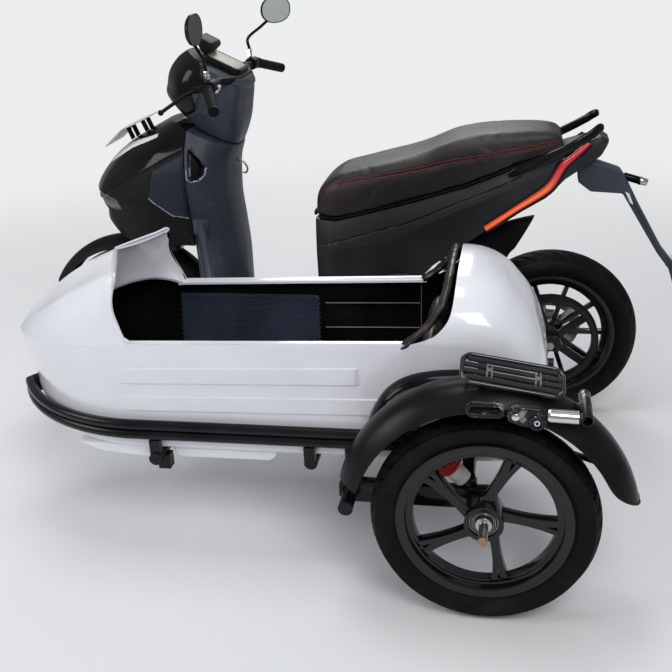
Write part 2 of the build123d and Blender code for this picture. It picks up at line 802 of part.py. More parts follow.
holder_outline = [
    (-60, 776), (-100, 800.8), (-180, 768), (-200, 735), (-312, 532), *holder_end,
    (-384, 326), (-336, 470), (-298, 520), (-184, 702), (-100, 702), (-62, 730),
]
with BuildPart() as plate_holder:
    add(slab(holder_outline, 26))
    add(bar((-190, 0, 745), (-261, 0, 724), 10))

# Seat: cushion over a hinged base
deck_line = [(30, 820), (121, 790), (251, 742), (455, 686), (631, 640), (690, 640)]
base_low, base_high = 6.0, 10.0
base_plan = [(20, 92), (150, 122), (400, 140), (640, 118), (700, 92)]
cushion_plan = [(-22, 88), (150, 128), (400, 146), (640, 122), (706, 96)]
with BuildPart() as seat_base:
    outline = [(x, z + base_low) for x, z in deck_line]
    add(slab(outline + [(x, z + base_high) for x, z in reversed(deck_line)], 200))
    add(plan_prism(base_plan, 500, 1000), mode=Mode.INTERSECT)
    add(slab([(676, 646), (676, 650), (707, 650), (716, 646), (716, 634), (708, 634), (706, 646)], 28))
    with BuildSketch(side_plane(0, hinge_x, hinge_z)):
        Circle(hinge_r + bore_clear)
    extrude(amount=60, both=True, mode=Mode.SUBTRACT)
cushion_top = [
    (697, 668), (694, 722), (655, 762), (620, 776), (468, 810), (370, 839), (294, 870), (190, 887),
    (57, 891), (4, 886), (-20, 860), (22, 834),
]
with BuildPart() as seat_cushion:
    outline = [(x, z + base_high + seat_gap) for x, z in deck_line]
    add(slab(outline + cushion_top, 200))
    add(plan_prism(cushion_plan, 500, 1000), mode=Mode.INTERSECT)

# Rear shocks, the arm's brackets for them, and the stand
with BuildPart() as rear_shocks:
    for side in (-1, 1):
        top = (shock_top[0], side * shock_y, shock_top[1])
        foot = (shock_foot[0], side * shock_y, shock_foot[1])
        add(bar(foot, top, 7))
        add(bar(along(foot, top, 60), along(foot, top, 245), 21))
        eye_y = (side * shock_y - shock_eye, side * shock_y + shock_eye)
        for x, z in (shock_top, shock_foot):
            add(box((x - 11, x + 11), eye_y, (z - 11, z + 11)))
bracket_outline = [(-30, -48), (-30, 0), (-10, 16), (10, 16), (30, 0), (50, -48)]
bracket_half = (boss_y - arm_y + arm_half) / 2
with BuildPart() as rear_swing_arm:
    add(swing_arm.part)
    for side in (-1, 1):
        outline = [(shock_foot[0] + x, shock_foot[1] + z) for x, z in bracket_outline]
        add(slab(outline, bracket_half, side * (boss_y - bracket_half)))

with BuildPart() as centre_stand:
    add(bar((stand_x, -116, stand_z), (stand_x, 116, stand_z), 13))
    for side in (-1, 1):
        add(bar((stand_x, side * 100, stand_z), (stand_x - stand_reach, side * 100, stand_z), 8.5))
    add(bar((stand_x - 84, -100, stand_z), (stand_x - 84, 100, stand_z), 7))
    add(bar((stand_x, -120, stand_z), (stand_x, 120, stand_z), 6 + bore_clear), mode=Mode.SUBTRACT)

# Sidecar hull: level outlines with arc fronts, cut by the deck, and a domed tail
dome_x = 322.0
hull_levels = [
    (hull_floor, 199, 1330), (392, 201, 1345), (526, 219, 1372), (590, 225, 1325),
    (650, 210, 1264), (780, 176, 1010),
]
deck_stations = [
    (1400, 495, 10, 490), (1371, 527, 20, 524), (1321, 583, 50, 566), (1250, 642, 92, 610),
    (1186, 686, 130, 650), (1111, 728, 155, 691), (1040, 756, 178, 724), (980, 778, 192, 741),
]
dome_stations = [
    (dome_x, 1.0, 1.0), (232, 1.0, 1.0), (160, 0.97, 0.97), (98, 0.9, 0.85), (47, 0.74, 0.66),
    (25, 0.56, 0.42),
]
dome_section = [(225, 602), (210, 650), (192, 677), (132, 722), (60, 731)]


def level_loft(inset):
    """The tub from the dome's plane to the nose, set in by a wall."""
    with BuildPart() as body:
        for height, half, nose in hull_levels:
            level = height + inset if height == hull_floor else height
            wide, reach = half - inset, nose - bow_start - 1.6 * inset
            radius = (reach ** 2 + wide ** 2) / (2 * wide)
            turn = atan2(reach, radius - wide) / 2
            mid = (bow_start + radius * sin(turn), wide - radius + radius * cos(turn))
            with BuildSketch(shift_plane(0, hull_y, level)):
                with BuildLine():
                    Line((dome_x, -wide), (bow_start, -wide))
                    ThreePointArc((bow_start, -wide), (mid[0], -mid[1]), (bow_start + reach, 0))
                    ThreePointArc((bow_start + reach, 0), mid, (bow_start, wide))
                    Line((bow_start, wide), (dome_x, wide))
                    Line((dome_x, wide), (dome_x, -wide))
                make_face()
        loft(ruled=True)
    return body.part


def deck_cutter(inset):
    """Everything above the deck, from its ridge and creases."""
    with BuildPart() as cutter:
        for x, ridge, half, crease in deck_stations:
            side = [(half, crease - inset), (300, crease - inset), (300, 1000)]
            ring = [(0, ridge - inset)] + side + [(-y, z) for y, z in reversed(side)]
            with BuildSketch(Plane(origin=(x, hull_y, 0), x_dir=(0, 1, 0), z_dir=(1, 0, 0))):
                Polygon(*ring, align=None)
        loft(ruled=True)
    return cutter.part


def dome_loft(inset):
    """The domed tail, set in by a wall."""
    low = [(199, hull_floor), (201, 392), (219, 526)]
    with BuildPart() as body:
        for x, wide, tall in dome_stations:
            station = x + inset if x == dome_stations[-1][0] else x
            half = [
                ((y - inset) * wide, hull_floor + (z - hull_floor) * tall - inset)
                for y, z in low + dome_section
            ]
            half[0] = (half[0][0], hull_floor + inset)
            ring = half + [(-y, z) for y, z in reversed(half)]
            with BuildSketch(Plane(origin=(station, hull_y, 0), x_dir=(0, 1, 0), z_dir=(1, 0, 0))):
                Polygon(*ring, align=None)
        loft(ruled=True)
    return body.part


def hull_form(inset):
    """The whole hull's outer form, or its inside when set in."""
    with BuildPart() as body:
        add(level_loft(inset))
        with BuildSketch(shift_plane(500, hull_y, 610)):
            Rectangle(960, 700)
        extrude(amount=300, mode=Mode.SUBTRACT)
        add(deck_cutter(inset), mode=Mode.SUBTRACT)
        add(dome_loft(inset))
    return body.part


opening_outline = [
    (dome_x + 8, rim_rear_z), (984, rim_front_z), (1000, 622), (1013, 655), (1015, 690), (cowl_x, 735),
    (cowl_x, 900), (232, 900), (232, 732), (238, 680), (249, 651), (280, 618),
]
cowl_edge = [
    (940, -cowl_half - 40), (cowl_x, -cowl_half), (apex_x, 0), (cowl_x, cowl_half), (940, cowl_half + 40),
]
panel_top = [(cowl_x, 215), (cowl_x, 190), (1023, 140), (1048, 72), (apex_x, 0)]
panel_foot = [(978, 226), (990, 197), (1025, 180), (1070, 125), (1120, 0)]
panel_low = 596.0
panel_high = 748.0
with BuildPart() as sidecar_tub:
    add(hull_form(0))
    add(hull_form(hull_wall), mode=Mode.SUBTRACT)
    with BuildSketch(side_plane(hull_y)):
        Polygon(*opening_outline, align=None)
    extrude(amount=260, both=True, mode=Mode.SUBTRACT)
    with BuildSketch(shift_plane(0, hull_y, 620)):
        Polygon(*cowl_edge, align=None)
    extrude(amount=300, mode=Mode.SUBTRACT)

with BuildPart() as cowl_panel:
    for height, line in ((panel_low, panel_foot), (panel_high, panel_top)):
        run = [(x, -half) for x, half in line] + [(x, half) for x, half in reversed(line[:-1])]
        with BuildSketch(shift_plane(0, hull_y, height)):
            Polygon(*run, *[(x + hull_wall, y) for x, y in reversed(run)], align=None)
    loft(ruled=True)
    add(hull_form(1), mode=Mode.INTERSECT)

with BuildPart() as rim_flange:
    add(hull_form(1))
    with BuildSketch(side_plane(hull_y)):
        Polygon((330, 602), (990, 583.8), (990, 579.8), (330, 598), align=None)
    extrude(amount=260, both=True, mode=Mode.INTERSECT)
    with BuildSketch(shift_plane(660, hull_y, 500)):
        Rectangle(800, 2 * opening_half)
    extrude(amount=200, mode=Mode.SUBTRACT)
with BuildPart() as sidecar_hull:
    add(sidecar_tub.part)
    add(rim_flange.part)
    add(cowl_panel.part)

# Side rail: two stacked tubes in a pointed loop round the hull
rail_tail = side_lead - rail_behind
rail_nose = bow_start + sqrt(rail_radius ** 2 - (rail_radius - rail_half) ** 2)
rail_low = rail_z
rail_high = rail_z + rail_pitch
with BuildPart() as rail_side:
    for height in (rail_low, rail_high):
        centre_y = hull_y + rail_half - rail_radius
        swing = atan2(rail_nose + 14 - bow_start, hull_y - 8 - centre_y)
        bend_start = (bow_start, hull_y + rail_half, height)
        bend_mid = (
            bow_start + rail_radius * sin(swing / 2), centre_y + rail_radius * cos(swing / 2), height
        )
        bend_end = (bow_start + rail_radius * sin(swing), centre_y + rail_radius * cos(swing), height)
        with BuildLine() as route:
            Line((rail_tail, hull_y + rail_half, height), bend_start)
            ThreePointArc(bend_start, bend_mid, bend_end)
        with BuildSketch(Plane(origin=(rail_tail, hull_y + rail_half, height), z_dir=(1, 0, 0))):
            Circle(rail_r)
        sweep(path=route.line)
    add(box((rail_tail - 50, 1500), (hull_y, hull_y + 300), (300, 420)), mode=Mode.INTERSECT)
with BuildPart() as side_rail:
    add(rail_side.part)
    mirror(rail_side.part, about=Plane(origin=(0, hull_y, 0), z_dir=(0, 1, 0)))
rail_outer = hull_y + rail_half + rail_r
rail_foot = rail_low - rail_r

# Cross tubes under the hull, clamped to the scooter's frame
rail_left = hull_y + rail_half
rail_right = hull_y - rail_half
front_tube_x = apron_back - 110
mid_tube_x = 570.0
clamp_inner = 98.0
clamp_outer = 143.0
with BuildPart() as cross_tubes:
    for x, start, end in (
        (front_tube_x, clamp_outer - 1, rail_left + 14),
        (mid_tube_x, clamp_outer - 1, rail_left - 2),
        (side_lead + 41, rail_right - 14, rail_left + 14),
    ):
        add(bar((x, start, cross_z), (x, end, cross_z), cross_r))
        for y in (rail_left, rail_right):
            add(box((x - 13, x + 13), (y - 9, y + 9), (cross_z, rail_foot - seat_gap)))
        if start < rail_right - 14:
            add(box((x - 19, x + 19), (clamp_inner, clamp_outer), (266, 326.5)))
            with BuildSketch(section_plane(x)):
                with Locations((frame_y, frame_z)):
                    Circle(frame_r + seat_gap)
            extrude(amount=30, both=True, mode=Mode.SUBTRACT)
    add(box((front_tube_x - 26, front_tube_x + 4), (hull_y + 174, hull_y + 202), (243, 280)))

arm_pivot_x = 465.0
arm_pivot_z = 255.0
arm_pivot_r = 17.0
side_arm_half = 12.5
side_arm_y = track - 77.5
with BuildPart() as pivot_tube:
    start = lug_y + 6 + seat_gap
    add(bar((arm_pivot_x, start, arm_pivot_z), (arm_pivot_x, track + 10, arm_pivot_z), arm_pivot_r))
    add(bar((arm_pivot_x, start, arm_pivot_z), (arm_pivot_x, start + 9, arm_pivot_z), 27))
    for y in (rail_left, rail_right):
        add(box((arm_pivot_x - 20, arm_pivot_x + 20), (y - 5, y + 5), (arm_pivot_z, rail_foot - seat_gap)))

side_arm_outline = [
    (arm_pivot_x + 27, arm_pivot_z - 15), (arm_pivot_x + 27, arm_pivot_z + 15),
    (arm_pivot_x + 5, arm_pivot_z + 27), (side_lead + 41, side_tyre_r + 26),
    (side_lead - 9, side_tyre_r + 27), (side_lead - 27, side_tyre_r + 12),
    (side_lead - 27, side_tyre_r - 12), (side_lead - 9, side_tyre_r - 27),
    (side_lead + 41, side_tyre_r - 24), (arm_pivot_x + 5, arm_pivot_z - 27),
]
with BuildPart() as side_swing_arm:
    add(slab(side_arm_outline, side_arm_half, side_arm_y))
    for x, z, radius in ((arm_pivot_x, arm_pivot_z, arm_pivot_r), (side_lead, side_tyre_r, spindle_r)):
        with BuildSketch(side_plane(side_arm_y, x, z)):
            Circle(radius + seat_gap)
        extrude(amount=20, both=True, mode=Mode.SUBTRACT)

arm_inner = side_arm_y - side_arm_half
arm_outer = side_arm_y + side_arm_half
hub_inner = track - hub_half
hub_face = track + hub_half - recess_depth
with BuildPart() as side_spindle:
    for start, end, radius in (
        (arm_inner - 12, track + spindle_out, spindle_r), (arm_inner - 12, arm_inner - seat_gap, 17),
        (arm_outer + seat_gap, hub_inner - seat_gap, 20), (hub_face + seat_gap, hub_face + 12, 18),
    ):
        add(bar((side_lead, start, side_tyre_r), (side_lead, end, side_tyre_r), radius))

# The side shock stands on the swing arm and hangs from a bracket on the rail
shock_line_y = track - 75
shock_low = (side_lead + 27, shock_line_y, side_tyre_r + 40)
shock_high = (side_lead + 148, shock_line_y, side_tyre_r + 156)
with BuildPart() as side_shock:
    add(bar(shock_low, shock_high, 6))
    add(bar(along(shock_low, shock_high, 34), along(shock_low, shock_high, 140), 23))
    add(bar(along(shock_low, shock_high, 118), along(shock_low, shock_high, 132), 29))
    for x, y, z in (shock_low, shock_high):
        add(bar((x, y - 12, z), (x, y + 12, z), 13))
with BuildPart() as shock_mounts:
    peg_end = (shock_high[0], shock_line_y - 12 - seat_gap - 4.6, shock_high[2])
    add(bar((shock_high[0], rail_outer + seat_gap, shock_high[2] - 14), peg_end, 9))
    add(box(
        (shock_high[0] - 15, shock_high[0] + 15), (rail_outer + seat_gap, rail_outer + 7),
        (rail_high - 18, shock_high[2] - 8),
    ))

# Fender, moulding, belly pans and panels
stay_low = (side_lead - 145, rail_outer + 7.5, rail_high + 0.4)
stay_high = (side_lead - 289, track - 64, fender_z + 93)
with BuildPart() as fender:
    add(arc_guard(
        side_lead, fender_y, fender_z, fender_r, fender_half, fender_drop, fender_t,
        fender_from, fender_to,
    ))
    add(box(
        (side_lead + 265, side_lead + 293), (rail_outer + seat_gap, track - 40),
        (fender_z + 108, fender_z + 116),
    ))
    add(bar(stay_low, stay_high, 7))
    with BuildSketch(side_plane(track + 20, side_lead, fender_z)):
        Circle(side_tyre_r + 20)
    extrude(amount=75, both=True, mode=Mode.SUBTRACT)

moulding_path = [(269, 144), (254, 194), (223, 238), (180, 269), (122, 284), (63, 288)]
with BuildPart() as arch_moulding:
    outer = [(side_lead + x, fender_z + z) for x, z in moulding_path]
    add(slab(outer + [(x - 8, z - 8) for x, z in reversed(outer)], 20, hull_y + 207))
    add(hull_form(-8), mode=Mode.INTERSECT)
    add(hull_form(-seat_gap), mode=Mode.SUBTRACT)

pan_half = 190.0
pan_top = hull_floor - seat_gap
front_pan = [(18, pan_top), (25, 264), (110, 271), (162, 277), (215, pan_top)]
rear_pan = [(mid_tube_x + 80, pan_top), (mid_tube_x + 102, 267)]
rear_pan += [(front_tube_x - 45, 267), (front_tube_x - 28, pan_top)]
with BuildPart() as belly_pans:
    for outline in (ahead(front_pan, front_tube_x), rear_pan):
        add(slab(outline, pan_half, hull_y))

hoop_path = [
    (318, 209, 610), (290, 204, 632), (266, 193, 660), (252, 176, 684), (246, 118, 708), (246, 0, 714),
]
hoop_points = [(x, hull_y + y, z) for x, y, z in hoop_path]
hoop_points += [(x, hull_y - y, z) for x, y, z in reversed(hoop_path[:-1])]
with BuildPart() as cockpit_trim:
    add(tube(hoop_points, 11, 12))
    add(sidecar_hull.part, mode=Mode.SUBTRACT)

# Cockpit: cushion, backrest and the perforated side panels
cushion_low = hull_floor + hull_wall + seat_gap
cushion_high = 372.0
cockpit_seat = box((298, 780), (hull_y - 165, hull_y + 165), (cushion_low, cushion_high))
back_foot = cushion_high + seat_gap
with BuildPart() as backrest:
    add(slab([(345, back_foot), (300, back_foot), (262, 570), (286, 592), (306, 586)], 160, hull_y))

wall_half = [(height, half - hull_wall - seat_gap) for height, half, nose in hull_levels]
panel_x = (616, 1004)
panel_z = (403, 546)
panel_t = 3.0
with BuildPart() as mesh_panel:
    low_half = between(wall_half, panel_z[0])
    high_half = between(wall_half, panel_z[1])
    for side in (-1, 1):
        with BuildSketch(section_plane(panel_x[0])):
            Polygon(
                (hull_y + side * low_half, panel_z[0]), (hull_y + side * high_half, panel_z[1]),
                (hull_y + side * (high_half - panel_t), panel_z[1]),
                (hull_y + side * (low_half - panel_t), panel_z[0]), align=None,
            )
        extrude(amount=panel_x[1] - panel_x[0])

# Step plate over the fender, with its bracket
step_x = side_lead - 52
step_z = fender_z + fender_r + 9
step_tilt = 20.6
step_dip = 12.0
step_t = 8.0
step_plane = Plane(origin=(step_x, track, step_z)).rotated((-step_tilt, -step_dip, 0))
with BuildPart() as step_plate:
    with BuildSketch(step_plane):
        RectangleRounded(218, 88, 40)
    extrude(amount=step_t)
tube_x = side_lead - 213.6
tube_z = fender_z + fender_r - 59
loop_y = track + 72
with BuildPart() as step_bracket:
    add(bar((tube_x, track - 40, tube_z), (tube_x, track + 78, tube_z), 15.5))
    run = [
        (tube_x, track + 64, tube_z), (side_lead - 159, loop_y, tube_z + 19),
        (side_lead - 99, loop_y, tube_z + 19), (side_lead - 9, loop_y, tube_z + 23),
    ]
    add(tube(run, 8, 20))
    add(bar((side_lead - 189, loop_y, tube_z + 16), (side_lead - 131, loop_y, tube_z + 20), 13))
    add(box((side_lead - 121, side_lead - 45), (loop_y - 10, loop_y + 10), (tube_z - 4, tube_z + 40)))
    with BuildSketch(side_plane(track + 68, side_lead - 1, tube_z + 25)):
        SlotOverall(84, 38)
        SlotOverall(66, 20, mode=Mode.SUBTRACT)
    extrude(amount=6, both=True)
    with BuildSketch(step_plane.offset(-seat_gap)):
        Rectangle(400, 400)
    extrude(amount=100, mode=Mode.SUBTRACT)
    with BuildSketch(step_plane.offset(-seat_gap)):
        with Locations((-20, 48)):
            Rectangle(44, 54)
    extrude(amount=-5)

# Upper struts from the rail to the tail's side and the leg shield's side
tail_pad_x = 440.0
shield_pad_x = apron_back - 30
strut_rail_z = rail_high + 23.4
tail_pad_y = between(tail_plan, tail_pad_x - 22) + seat_gap
shield_pad_y = 171.8
with BuildPart() as upper_struts:
    for rail_x, pad_x, pad_y, pad_z in (
        (330, tail_pad_x, tail_pad_y, 470), (apron_back - 160, shield_pad_x, shield_pad_y, 640),
    ):
        add(bar((rail_x, rail_right - 4, strut_rail_z), (pad_x, pad_y + 10, pad_z), 11))
        add(box(
            (rail_x - 20, rail_x + 20), (rail_right - 12, rail_right + 12),
            (rail_high + rail_r + seat_gap, strut_rail_z + 6),
        ))
        add(box((pad_x - 22, pad_x + 22), (pad_y, pad_y + 14), (pad_z - 22, pad_z + 22)))

# Export about the middle of the assembly's footprint
pieces = {
    "scooter_frame": scooter_frame, "battery_block": battery_block, "motor_block": motor_block,
    "head_tube": head_tube, "footboard": footboard, "leg_shield": leg_shield,
    "front_apron": front_apron, "front_lamps": front_lamps, "number_plates": number_plates,
    "plate_standoffs": plate_standoffs, "tail_body": tail_body, "tail_lights": tail_lights,
    "grab_rails": grab_rails, "plate_holder": plate_holder, "rear_hugger": rear_hugger,
    "rear_swing_arm": rear_swing_arm, "rear_shocks": rear_shocks, "rear_axle": rear_axle,
    "drive_belt": drive_belt,
    "rear_rim": rear_rim, "rear_tyre": rear_tyre, "rear_disc": rear_disc, "rear_pulley": rear_pulley,
    "fork": fork, "front_axle": front_axle, "front_mudguard": front_mudguard,
    "handlebar": handlebar, "grips": grips, "bar_controls": bar_controls,
    "handlebar_cover": handlebar_cover, "dash": dash, "mirrors": mirrors,
    "front_rim": front_rim, "front_tyre": front_tyre, "front_disc": front_disc,
    "seat_base": seat_base, "seat_cushion": seat_cushion, "centre_stand": centre_stand,
    "sidecar_hull": sidecar_hull, "side_rail": side_rail, "cross_tubes": cross_tubes,
    "upper_struts": upper_struts, "pivot_tube": pivot_tube, "belly_pans": belly_pans,
    "cockpit_trim": cockpit_trim, "cockpit_seat": cockpit_seat, "backrest": backrest,
    "mesh_panel": mesh_panel, "arch_moulding": arch_moulding, "fender": fender,
    "step_plate": step_plate, "step_bracket": step_bracket, "side_swing_arm": side_swing_arm,
    "side_spindle": side_spindle, "side_shock": side_shock, "shock_mounts": shock_mounts,
    "side_rim": side_rim, "side_tyre": side_tyre,
}
solids = {name: getattr(piece, "part", piece) for name, piece in pieces.items()}
boxes = [solid.bounding_box() for solid in solids.values()]
low = [min(getattr(item.min, axis) for item in boxes) for axis in "XYZ"]
high = [max(getattr(item.max, axis) for item in boxes) for axis in "XYZ"]
shift = (-(low[0] + high[0]) / 2, -(low[1] + high[1]) / 2, -low[2])
for name, solid in solids.items():
    moved = Location(shift) * solid
    moved.label = name
    export_step(moved, f"parts/{name}.step")
print("shift", shift, "low", low, "high", high)
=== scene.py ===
# Sidecar motorcycle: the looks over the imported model. Metres, +X forward, +Y to the sidecar.
import json
from math import atan2, cos, hypot, pi, radians, sin, sqrt

import bmesh
import bpy
from mathutils import Matrix, Vector


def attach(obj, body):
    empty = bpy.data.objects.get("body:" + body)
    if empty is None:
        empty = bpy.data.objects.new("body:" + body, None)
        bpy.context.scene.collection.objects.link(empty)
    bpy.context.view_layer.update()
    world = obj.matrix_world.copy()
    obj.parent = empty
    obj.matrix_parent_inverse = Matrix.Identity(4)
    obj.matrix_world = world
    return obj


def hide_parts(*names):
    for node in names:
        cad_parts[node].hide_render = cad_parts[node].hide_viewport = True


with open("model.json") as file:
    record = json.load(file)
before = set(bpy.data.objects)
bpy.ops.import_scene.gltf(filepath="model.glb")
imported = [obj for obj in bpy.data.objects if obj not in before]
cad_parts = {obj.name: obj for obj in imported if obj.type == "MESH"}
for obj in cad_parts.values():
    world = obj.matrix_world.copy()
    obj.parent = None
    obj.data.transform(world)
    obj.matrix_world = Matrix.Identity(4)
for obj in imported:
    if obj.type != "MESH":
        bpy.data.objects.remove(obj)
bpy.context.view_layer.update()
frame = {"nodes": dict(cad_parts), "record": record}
cadNodes = frame["nodes"]
bpy.ops.object.select_all(action="DESELECT")

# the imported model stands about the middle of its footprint
shiftX, shiftY = -0.598486, -0.369002


def at(x, y, z):
    # from sizes in mm (ahead of the rear axle, left of the scooter's middle, above the floor) to the frame
    return Vector((x / 1000 + shiftX, y / 1000 + shiftY, z / 1000))


def clamp(value, low=0, high=1):
    return min(max(value, low), high)


# the camera, with its angles in degrees
cameraSetup = {
    "place": (103.2, 2881.5, 1466.5), "pitch": 23.0, "yaw": 11.2, "roll": -2.9, "lens": 52.77, "sensor": 36,
    "farthest": 60,
}


def makeCamera(setup):
    pitch, yaw, roll = (radians(setup[key]) for key in ("pitch", "yaw", "roll"))
    ahead = Vector((sin(yaw) * cos(pitch), -cos(yaw) * cos(pitch), -sin(pitch)))
    right = ahead.cross(Vector((0, 0, 1))).normalized()
    up = right.cross(ahead)
    right, up = right * cos(roll) + up * sin(roll), up * cos(roll) - right * sin(roll)
    camera = bpy.data.objects.new("camera", bpy.data.cameras.new("camera"))
    bpy.context.scene.collection.objects.link(camera)
    camera.data.lens = setup["lens"]
    camera.data.sensor_width = setup["sensor"]
    camera.data.clip_end = setup["farthest"]
    turn = Matrix((right, up, -ahead)).transposed().to_4x4()
    camera.matrix_world = Matrix.Translation(at(*setup["place"])) @ turn
    bpy.context.scene.camera = camera


makeCamera(cameraSetup)


class Wire:
    # one socket, with maths that adds its Math nodes
    def __init__(self, tree, socket):
        self.tree, self.socket = tree, socket

    def math(self, operation, *others):
        node = self.tree.nodes.new("ShaderNodeMath")
        node.operation = operation
        for slot, value in zip(node.inputs, (self,) + others):
            if isinstance(value, Wire):
                self.tree.links.new(value.socket, slot)
            else:
                slot.default_value = value
        return Wire(self.tree, node.outputs[0])

    def flip(self, operation, other):
        node = self.tree.nodes.new("ShaderNodeMath")
        node.operation = operation
        node.inputs[0].default_value = other
        self.tree.links.new(self.socket, node.inputs[1])
        return Wire(self.tree, node.outputs[0])

    def __add__(self, other): return self.math("ADD", other)
    def __radd__(self, other): return self.math("ADD", other)
    def __sub__(self, other): return self.math("SUBTRACT", other)
    def __rsub__(self, other): return self.flip("SUBTRACT", other)
    def __mul__(self, other): return self.math("MULTIPLY", other)
    def __rmul__(self, other): return self.math("MULTIPLY", other)


class Finish:
    # a material under construction round one Principled shader
    def __init__(self, name, color, roughness, **rest):
        self.material = bpy.data.materials.new(name)
        self.material.use_nodes = True
        self.tree = self.material.node_tree
        self.shader = self.tree.nodes["Principled BSDF"]
        self.shader.inputs["Base Color"].default_value = (*color, 1)
        self.shader.inputs["Roughness"].default_value = roughness
        for key, value in rest.items():
            self.shader.inputs[key.replace("_", " ")].default_value = value
        self.material.diffuse_color = (*color, 1)

    def add(self, kind, settings=None, out=0, **inputs):
        node = self.tree.nodes.new(kind)
        for key, value in (settings or {}).items():
            setattr(node, key, value)
        for key, value in inputs.items():
            # i0, i1 and so on stand for a socket by its number
            slot = node.inputs[int(key[1:])] if key[0] == "i" and key[1:].isdigit() else node.inputs[key]
            if isinstance(value, Wire):
                self.tree.links.new(value.socket, slot)
            else:
                slot.default_value = value
        return Wire(self.tree, node.outputs[out])

    def place(self):
        return self.add("ShaderNodeTexCoord", out=3)

    def axis(self, which):
        # the place along X, Y or Z (0, 1 or 2), in metres
        return self.add("ShaderNodeSeparateXYZ", out=which, Vector=self.place())

    def noise(self, scale, detail=3.0, roughness=0.5, stretch=None):
        where = self.place()
        if stretch:
            where = self.add("ShaderNodeMapping", Vector=where, Scale=stretch)
        return self.add(
            "ShaderNodeTexNoise", Vector=where, Scale=scale, Detail=detail, Roughness=roughness
        )

    def step(self, value, low, high):
        # 0 below low, 1 above high
        return self.add(
            "ShaderNodeMapRange", {"interpolation_type": "SMOOTHSTEP"},
            i0=value, i1=low, i2=high, i3=0.0, i4=1.0,
        )

    def mix(self, amount, first, second):
        # first where amount is 0, second where it is 1; each a colour or a link
        def asColor(value):
            return value if isinstance(value, Wire) else (*value, 1)
        return self.add(
            "ShaderNodeMix", {"data_type": "RGBA"}, out=2,
            i0=amount, i6=asColor(first), i7=asColor(second),
        )

    def feed(self, key, value):
        self.tree.links.new(value.socket, self.shader.inputs[key])

    def bump(self, height, strength, distance=0.001):
        self.feed("Normal", self.add("ShaderNodeBump", Strength=strength, Distance=distance, Height=height))


def weave(name, color, roughness, grain, depth, tint=0.25, spread=0.08, **rest):
    # a moulded or painted skin: soft colour changes (tint), uneven gloss (spread) and a fine grain
    finish = Finish(name, color, roughness, **rest)
    cloud = finish.noise(7.0, 4.0)
    pale = tuple(min(1.0, part * (1 + tint) + 0.004) for part in color)
    dark = tuple(part * (1 - tint) for part in color)
    finish.feed("Base Color", finish.mix(finish.step(cloud, 0.3, 0.7), dark, pale))
    finish.feed("Roughness", finish.noise(23.0, 5.0, 0.6) * spread * 2 + (roughness - spread))
    finish.bump(finish.noise(grain, 2.0), depth, 0.0004)
    return finish


print("frame, camera and shader helpers ready")

# floor and backdrop: seen pale by the camera, dimmer by what shines in the object
stage = {
    "pale": (0.84, 0.85, 0.86), "dim": (0.32, 0.33, 0.35), "reach": (1.5, 4.2), "skyLight": 0.30,
    "sky": (0.93, 0.95, 1.0), "size": 40, "sides": 96, "below": 0.0005,
}
floor = Finish("floorPale", (0.80, 0.81, 0.82), 0.7)
away = floor.add("ShaderNodeVectorMath", {"operation": "LENGTH"}, out=1, i0=floor.place())
glow = floor.add(
    "ShaderNodeMixShader", Fac=floor.add("ShaderNodeLightPath"),
    i1=floor.add("ShaderNodeEmission", Color=(*stage["dim"], 1), Strength=1.0),
    i2=floor.add("ShaderNodeEmission", Color=(*stage["pale"], 1), Strength=1.0),
)
fade = floor.add("ShaderNodeMixShader", Fac=floor.step(away, *stage["reach"]), i2=glow)
floor.tree.links.new(floor.shader.outputs[0], fade.socket.node.inputs[1])
floor.tree.links.new(fade.socket, floor.tree.nodes["Material Output"].inputs["Surface"])
bpy.ops.mesh.primitive_circle_add(
    vertices=stage["sides"], radius=stage["size"], fill_type="NGON", location=(0, 0, -stage["below"])
)
floorPlane = bpy.context.object
floorPlane.name = "floor"
floorPlane.data.materials.append(floor.material)
bpy.ops.object.select_all(action="DESELECT")
world = bpy.data.worlds.new("studio")
bpy.context.scene.world = world
world.use_nodes = True
nodes, links = world.node_tree.nodes, world.node_tree.links
sky = nodes["Background"]
sky.inputs["Color"].default_value = (*stage["sky"], 1)
sky.inputs["Strength"].default_value = stage["skyLight"]
shown = nodes.new("ShaderNodeBackground")
shown.inputs["Color"].default_value = (*stage["pale"], 1)
rays = nodes.new("ShaderNodeLightPath")
choose = nodes.new("ShaderNodeMixShader")
links.new(rays.outputs["Is Camera Ray"], choose.inputs[0])
links.new(sky.outputs[0], choose.inputs[1])
links.new(shown.outputs[0], choose.inputs[2])
links.new(choose.outputs[0], nodes["World Output"].inputs["Surface"])

softBoxes = (
    # name, place, target, size, watts
    ("keyBox", (-1.6, 3.4, 3.6), (0, 0.4, 0.3), 2.0, 88),
    ("fillBox", (3.4, 1.8, 2.4), (0, 0, 0.5), 1.8, 52),
    ("backBox", (0.4, -3.6, 3.2), (0, 0, 0.6), 2.2, 58),
    ("topBox", (0.2, 0.2, 4.2), (0, 0.2, 0), 1.6, 40),
)
for name, place, target, size, watts in softBoxes:
    light = bpy.data.lights.new(name, "AREA")
    light.size, light.energy = size, watts
    lamp = bpy.data.objects.new(name, light)
    bpy.context.scene.collection.objects.link(lamp)
    lamp.location = place
    lamp.rotation_euler = (Vector(target) - Vector(place)).to_track_quat("-Z", "Y").to_euler()
bpy.context.scene.view_settings.view_transform = "Standard"

